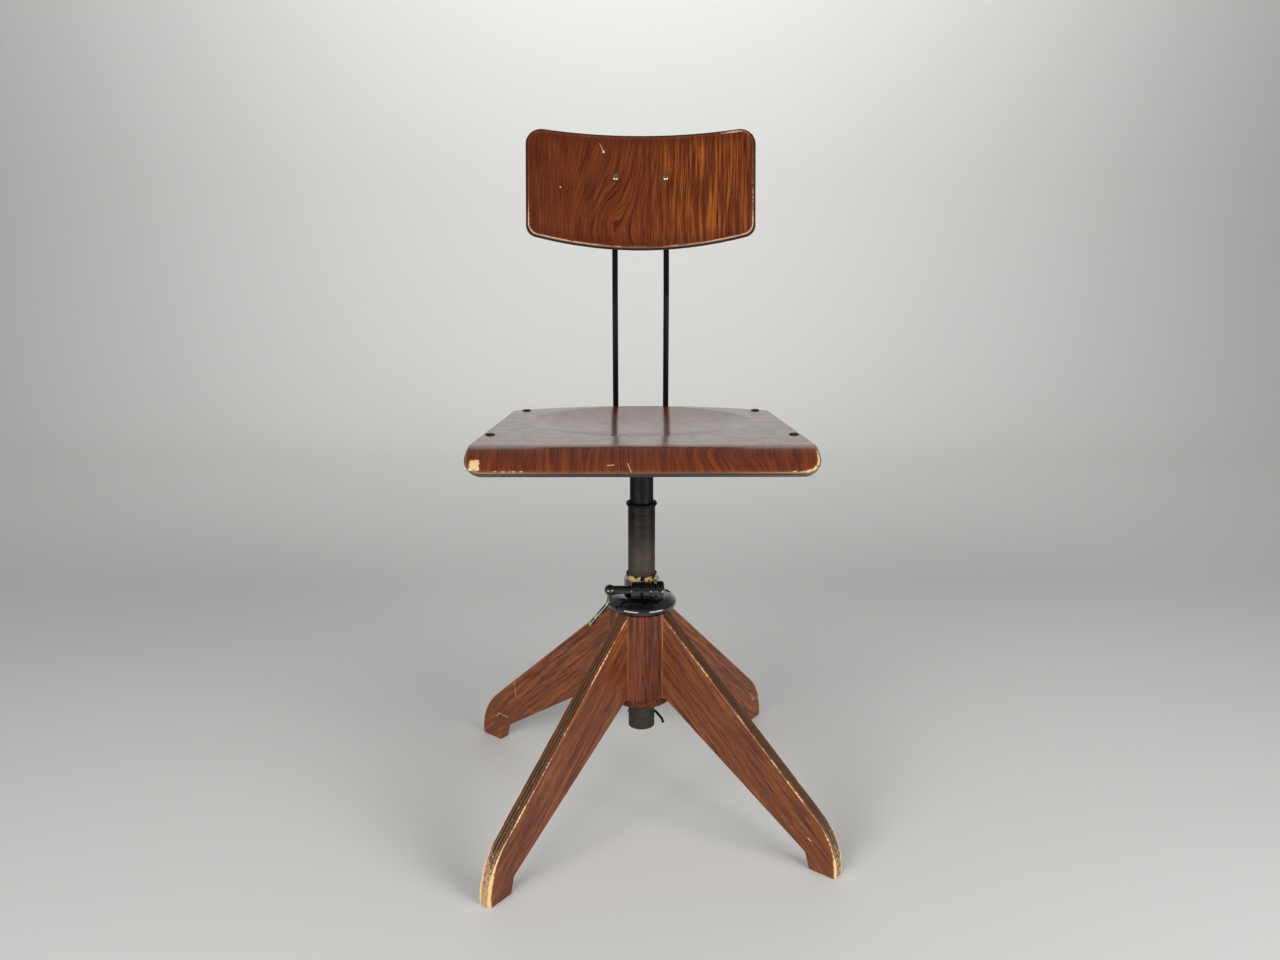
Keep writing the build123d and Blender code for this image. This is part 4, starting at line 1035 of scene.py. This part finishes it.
class CHAIR_OT_fittings(bpy.types.Operator):
    """The pressed and cast fittings under the seat"""

    bl_idname = "chair.fittings"
    bl_label = "Fittings under the seat"

    def execute(self, context):
        finish = finish_of(context)
        # Dipped black paint on cast and pressed iron: dull, with a grainy skin.
        paint = plain_finish(
            "dipped_black_paint", finish.spindle, finish.steel_brown,
            share=0.6, metallic=0, rough=0.55, grit=3,
        )
        # Turned and headed steel, left bare: grey, a little browned by age.
        steel = plain_finish(
            "plain_turned_steel", finish.plain, finish.steel_brown, share=0.6, metallic=1, rough=0.35, grit=2
        )
        dress(paint, "seat_socket", "seat_arms", "rod_guide", "rod_clamp_bar", "rod_wing_screw")
        dress(steel, "socket_pin", "arm_rivets", "seat_nuts", "rod_guide_screws")
        return {"FINISHED"}


class CHAIR_OT_rods(bpy.types.Operator):
    """The two bent rods that carry the backrest"""

    bl_idname = "chair.rods"
    bl_label = "Rods"

    def execute(self, context):
        finish = finish_of(context)
        # Drawn rod blackened in hot oil: near black, with a long soft highlight.
        rods = plain_finish(
            "blackened_steel_rods", finish.rod, finish.enamel,
            share=0.6, metallic=0, rough=0.3, grit=3, spread=(1, 1, 0.15), specular=0.25,
        )
        dress(rods, "back_rod_left", "back_rod_right")
        return {"FINISHED"}


class CHAIR_OT_inside(bpy.types.Operator):
    """Dowels, screws, bushes and the other pieces that sit inside"""

    bl_idname = "chair.inside"
    bl_label = "Inside pieces"

    def execute(self, context):
        finish = finish_of(context)
        # Turned steel keeps fine tool marks in its gloss.
        steel = plain_finish(
            "bare_turned_steel", finish.plain, finish.steel_brown, share=0.6, metallic=1, rough=0.35, grit=2
        )
        # Beech rod is pale and dry, without a film.
        beech = plain_finish(
            "bare_beech_dowels", finish.beech, finish.rubbed, share=0.5, metallic=0, rough=0.6, grit=2
        )
        # Turned brass goes brown in patches.
        brass = plain_finish(
            "turned_brass_bushes", finish.brass, finish.enamel_worn, share=0.5, metallic=1, rough=0.3, grit=2
        )
        dress(steel, "base_ring_screws", "collar_screws", "lever_pin", "spring_plug", "spring_cap")
        dress(steel, "thrust_ball", "spindle_plug")
        dress(beech, "leg_dowels")
        dress(brass, "column_bushes")
        return {"FINISHED"}


class CHAIR_OT_stage(bpy.types.Operator):
    """A plain pale floor that sweeps up behind the chair, soft studio lamps and the camera"""

    bl_idname = "chair.stage"
    bl_label = "Stage"

    def execute(self, context):
        stage = context.scene.chair_stage
        self.floor(context, stage)
        chair, collar, wall = (0, 0, 0.4), (0, 0, 0.3), (0, 2.9, 2.2)
        for name, place, size in (
            ("softbox_left", (-1.35, -1.95, 1.0), (1.45, 1.35)),
            ("softbox_right", (1.8, -1.55, 1.0), (1.35, 1.35)),
        ):
            softbox = self.lamp(context, name, place, chair, size, stage.softbox_power, 120)
            softbox.visible_glossy = False
        self.lamp(context, "backdrop_lamp", (0, 1.1, 2.4), wall, (3, 1), stage.backdrop_power, 180)
        # Two low cards stand in the enamel as white shapes and light nothing. They are lower than the seat,
        # so it never mirrors them.
        for name, place in (("card_left", (-0.56, -0.83, 0.19)), ("card_right", (0.73, -0.68, 0.19))):
            card = self.lamp(context, name, place, collar, (0.85, 0.34), stage.card_power, 180)
            card.visible_diffuse = False
        world = bpy.data.worlds.new("studio")
        context.scene.world = world
        world.use_nodes = True
        background = world.node_tree.nodes["Background"]
        background.inputs["Color"].default_value = (1, 1, 1, 1)
        background.inputs["Strength"].default_value = stage.ambient
        camera = bpy.data.cameras.new("camera")
        camera.sensor_fit = "HORIZONTAL"
        camera.sensor_width = 36
        camera.lens = stage.lens
        holder = bpy.data.objects.new("camera", camera)
        context.scene.collection.objects.link(holder)
        holder.location = stage.camera_place
        holder.rotation_euler = (math.radians(90) - stage.camera_pitch, 0, stage.camera_yaw)
        context.scene.camera = holder
        context.scene.view_settings.view_transform = "Standard"
        return {"FINISHED"}

    @staticmethod
    def floor(context, stage):
        """A long sheet that lies on the floor and sweeps up far behind the chair."""
        half, near, far, bend, high, steps = 5, -4, 2, 0.9, 3.4, 16
        profile = [(near, 0), (far, 0)]
        for step in range(1, steps + 1):
            turn = math.radians(90 * step / steps)
            profile.append((far + bend * math.sin(turn), bend - bend * math.cos(turn)))
        profile.append((far + bend, high))
        points = [(side * half, y, z) for y, z in profile for side in (-1, 1)]
        faces = [(2 * i, 2 * i + 1, 2 * i + 3, 2 * i + 2) for i in range(len(profile) - 1)]
        mesh = bpy.data.meshes.new("floor")
        mesh.from_pydata(points, [], faces)
        for face in mesh.polygons:
            face.use_smooth = True
        # Matt paper has no shine, so it shows the chair's soft shadows alone.
        material, tree = new_material("matt_paper_sweep")
        surface = {"Base Color": solid(stage.floor), "Roughness": 0.9}
        add(tree, "surface", "ShaderNodeBsdfPrincipled", surface)
        add(tree, "out", "ShaderNodeOutputMaterial", {"Surface": "surface"})
        mesh.materials.append(material)
        floor = bpy.data.objects.new("floor", mesh)
        context.scene.collection.objects.link(floor)

    @staticmethod
    def lamp(context, name, place, target, size, power, spread):
        light = bpy.data.lights.new(name, "AREA")
        light.shape = "RECTANGLE"
        light.size, light.size_y = size
        light.energy = power
        light.spread = math.radians(spread)
        holder = bpy.data.objects.new(name, light)
        context.scene.collection.objects.link(holder)
        holder.location = place
        aim = Vector(target) - Vector(place)
        holder.rotation_euler = aim.to_track_quat("-Z", "Y").to_euler()
        holder.visible_camera = False
        return holder


class CHAIR_PT_panel(bpy.types.Panel):
    """Lists the chair's pieces, colours and sizes"""

    bl_idname = "CHAIR_PT_panel"
    bl_label = "Swivel chair"
    bl_space_type = "VIEW_3D"
    bl_region_type = "UI"
    bl_category = "Chair"

    def draw(self, context):
        for operator in OPERATORS:
            self.layout.operator(operator.bl_idname)
        for group in (context.scene.chair_finish, context.scene.chair_sizes, context.scene.chair_stage):
            box = self.layout.box()
            for name in group.bl_rna.properties.keys():
                if name not in ("rna_type", "name"):
                    box.prop(group, name)


GROUPS = {"chair_finish": ChairFinish, "chair_sizes": ChairSizes, "chair_stage": ChairStage}
OPERATORS = [
    CHAIR_OT_stage,
    CHAIR_OT_clamp,
    CHAIR_OT_column,
    CHAIR_OT_fittings,
    CHAIR_OT_rods,
    CHAIR_OT_inside,
    CHAIR_OT_legs,
    CHAIR_OT_hub,
    CHAIR_OT_seat,
    CHAIR_OT_backrest,
    CHAIR_OT_fasteners,
    CHAIR_OT_spring,
]


def register():
    for kind in (*GROUPS.values(), *OPERATORS, CHAIR_PT_panel):
        bpy.utils.register_class(kind)
    for name, group in GROUPS.items():
        setattr(bpy.types.Scene, name, bpy.props.PointerProperty(type=group))


def unregister():
    for name in GROUPS:
        delattr(bpy.types.Scene, name)
    for kind in (CHAIR_PT_panel, *reversed(OPERATORS), *GROUPS.values()):
        bpy.utils.unregister_class(kind)


def main():
    register()
    bpy.ops.chair.stage()
    bpy.ops.chair.clamp()
    bpy.ops.chair.column()
    bpy.ops.chair.fittings()
    bpy.ops.chair.rods()
    bpy.ops.chair.inside()
    bpy.ops.chair.legs()
    bpy.ops.chair.hub()
    bpy.ops.chair.seat()
    bpy.ops.chair.backrest()
    bpy.ops.chair.fasteners()
    bpy.ops.chair.spring()


if __name__ == "__main__":
    main()
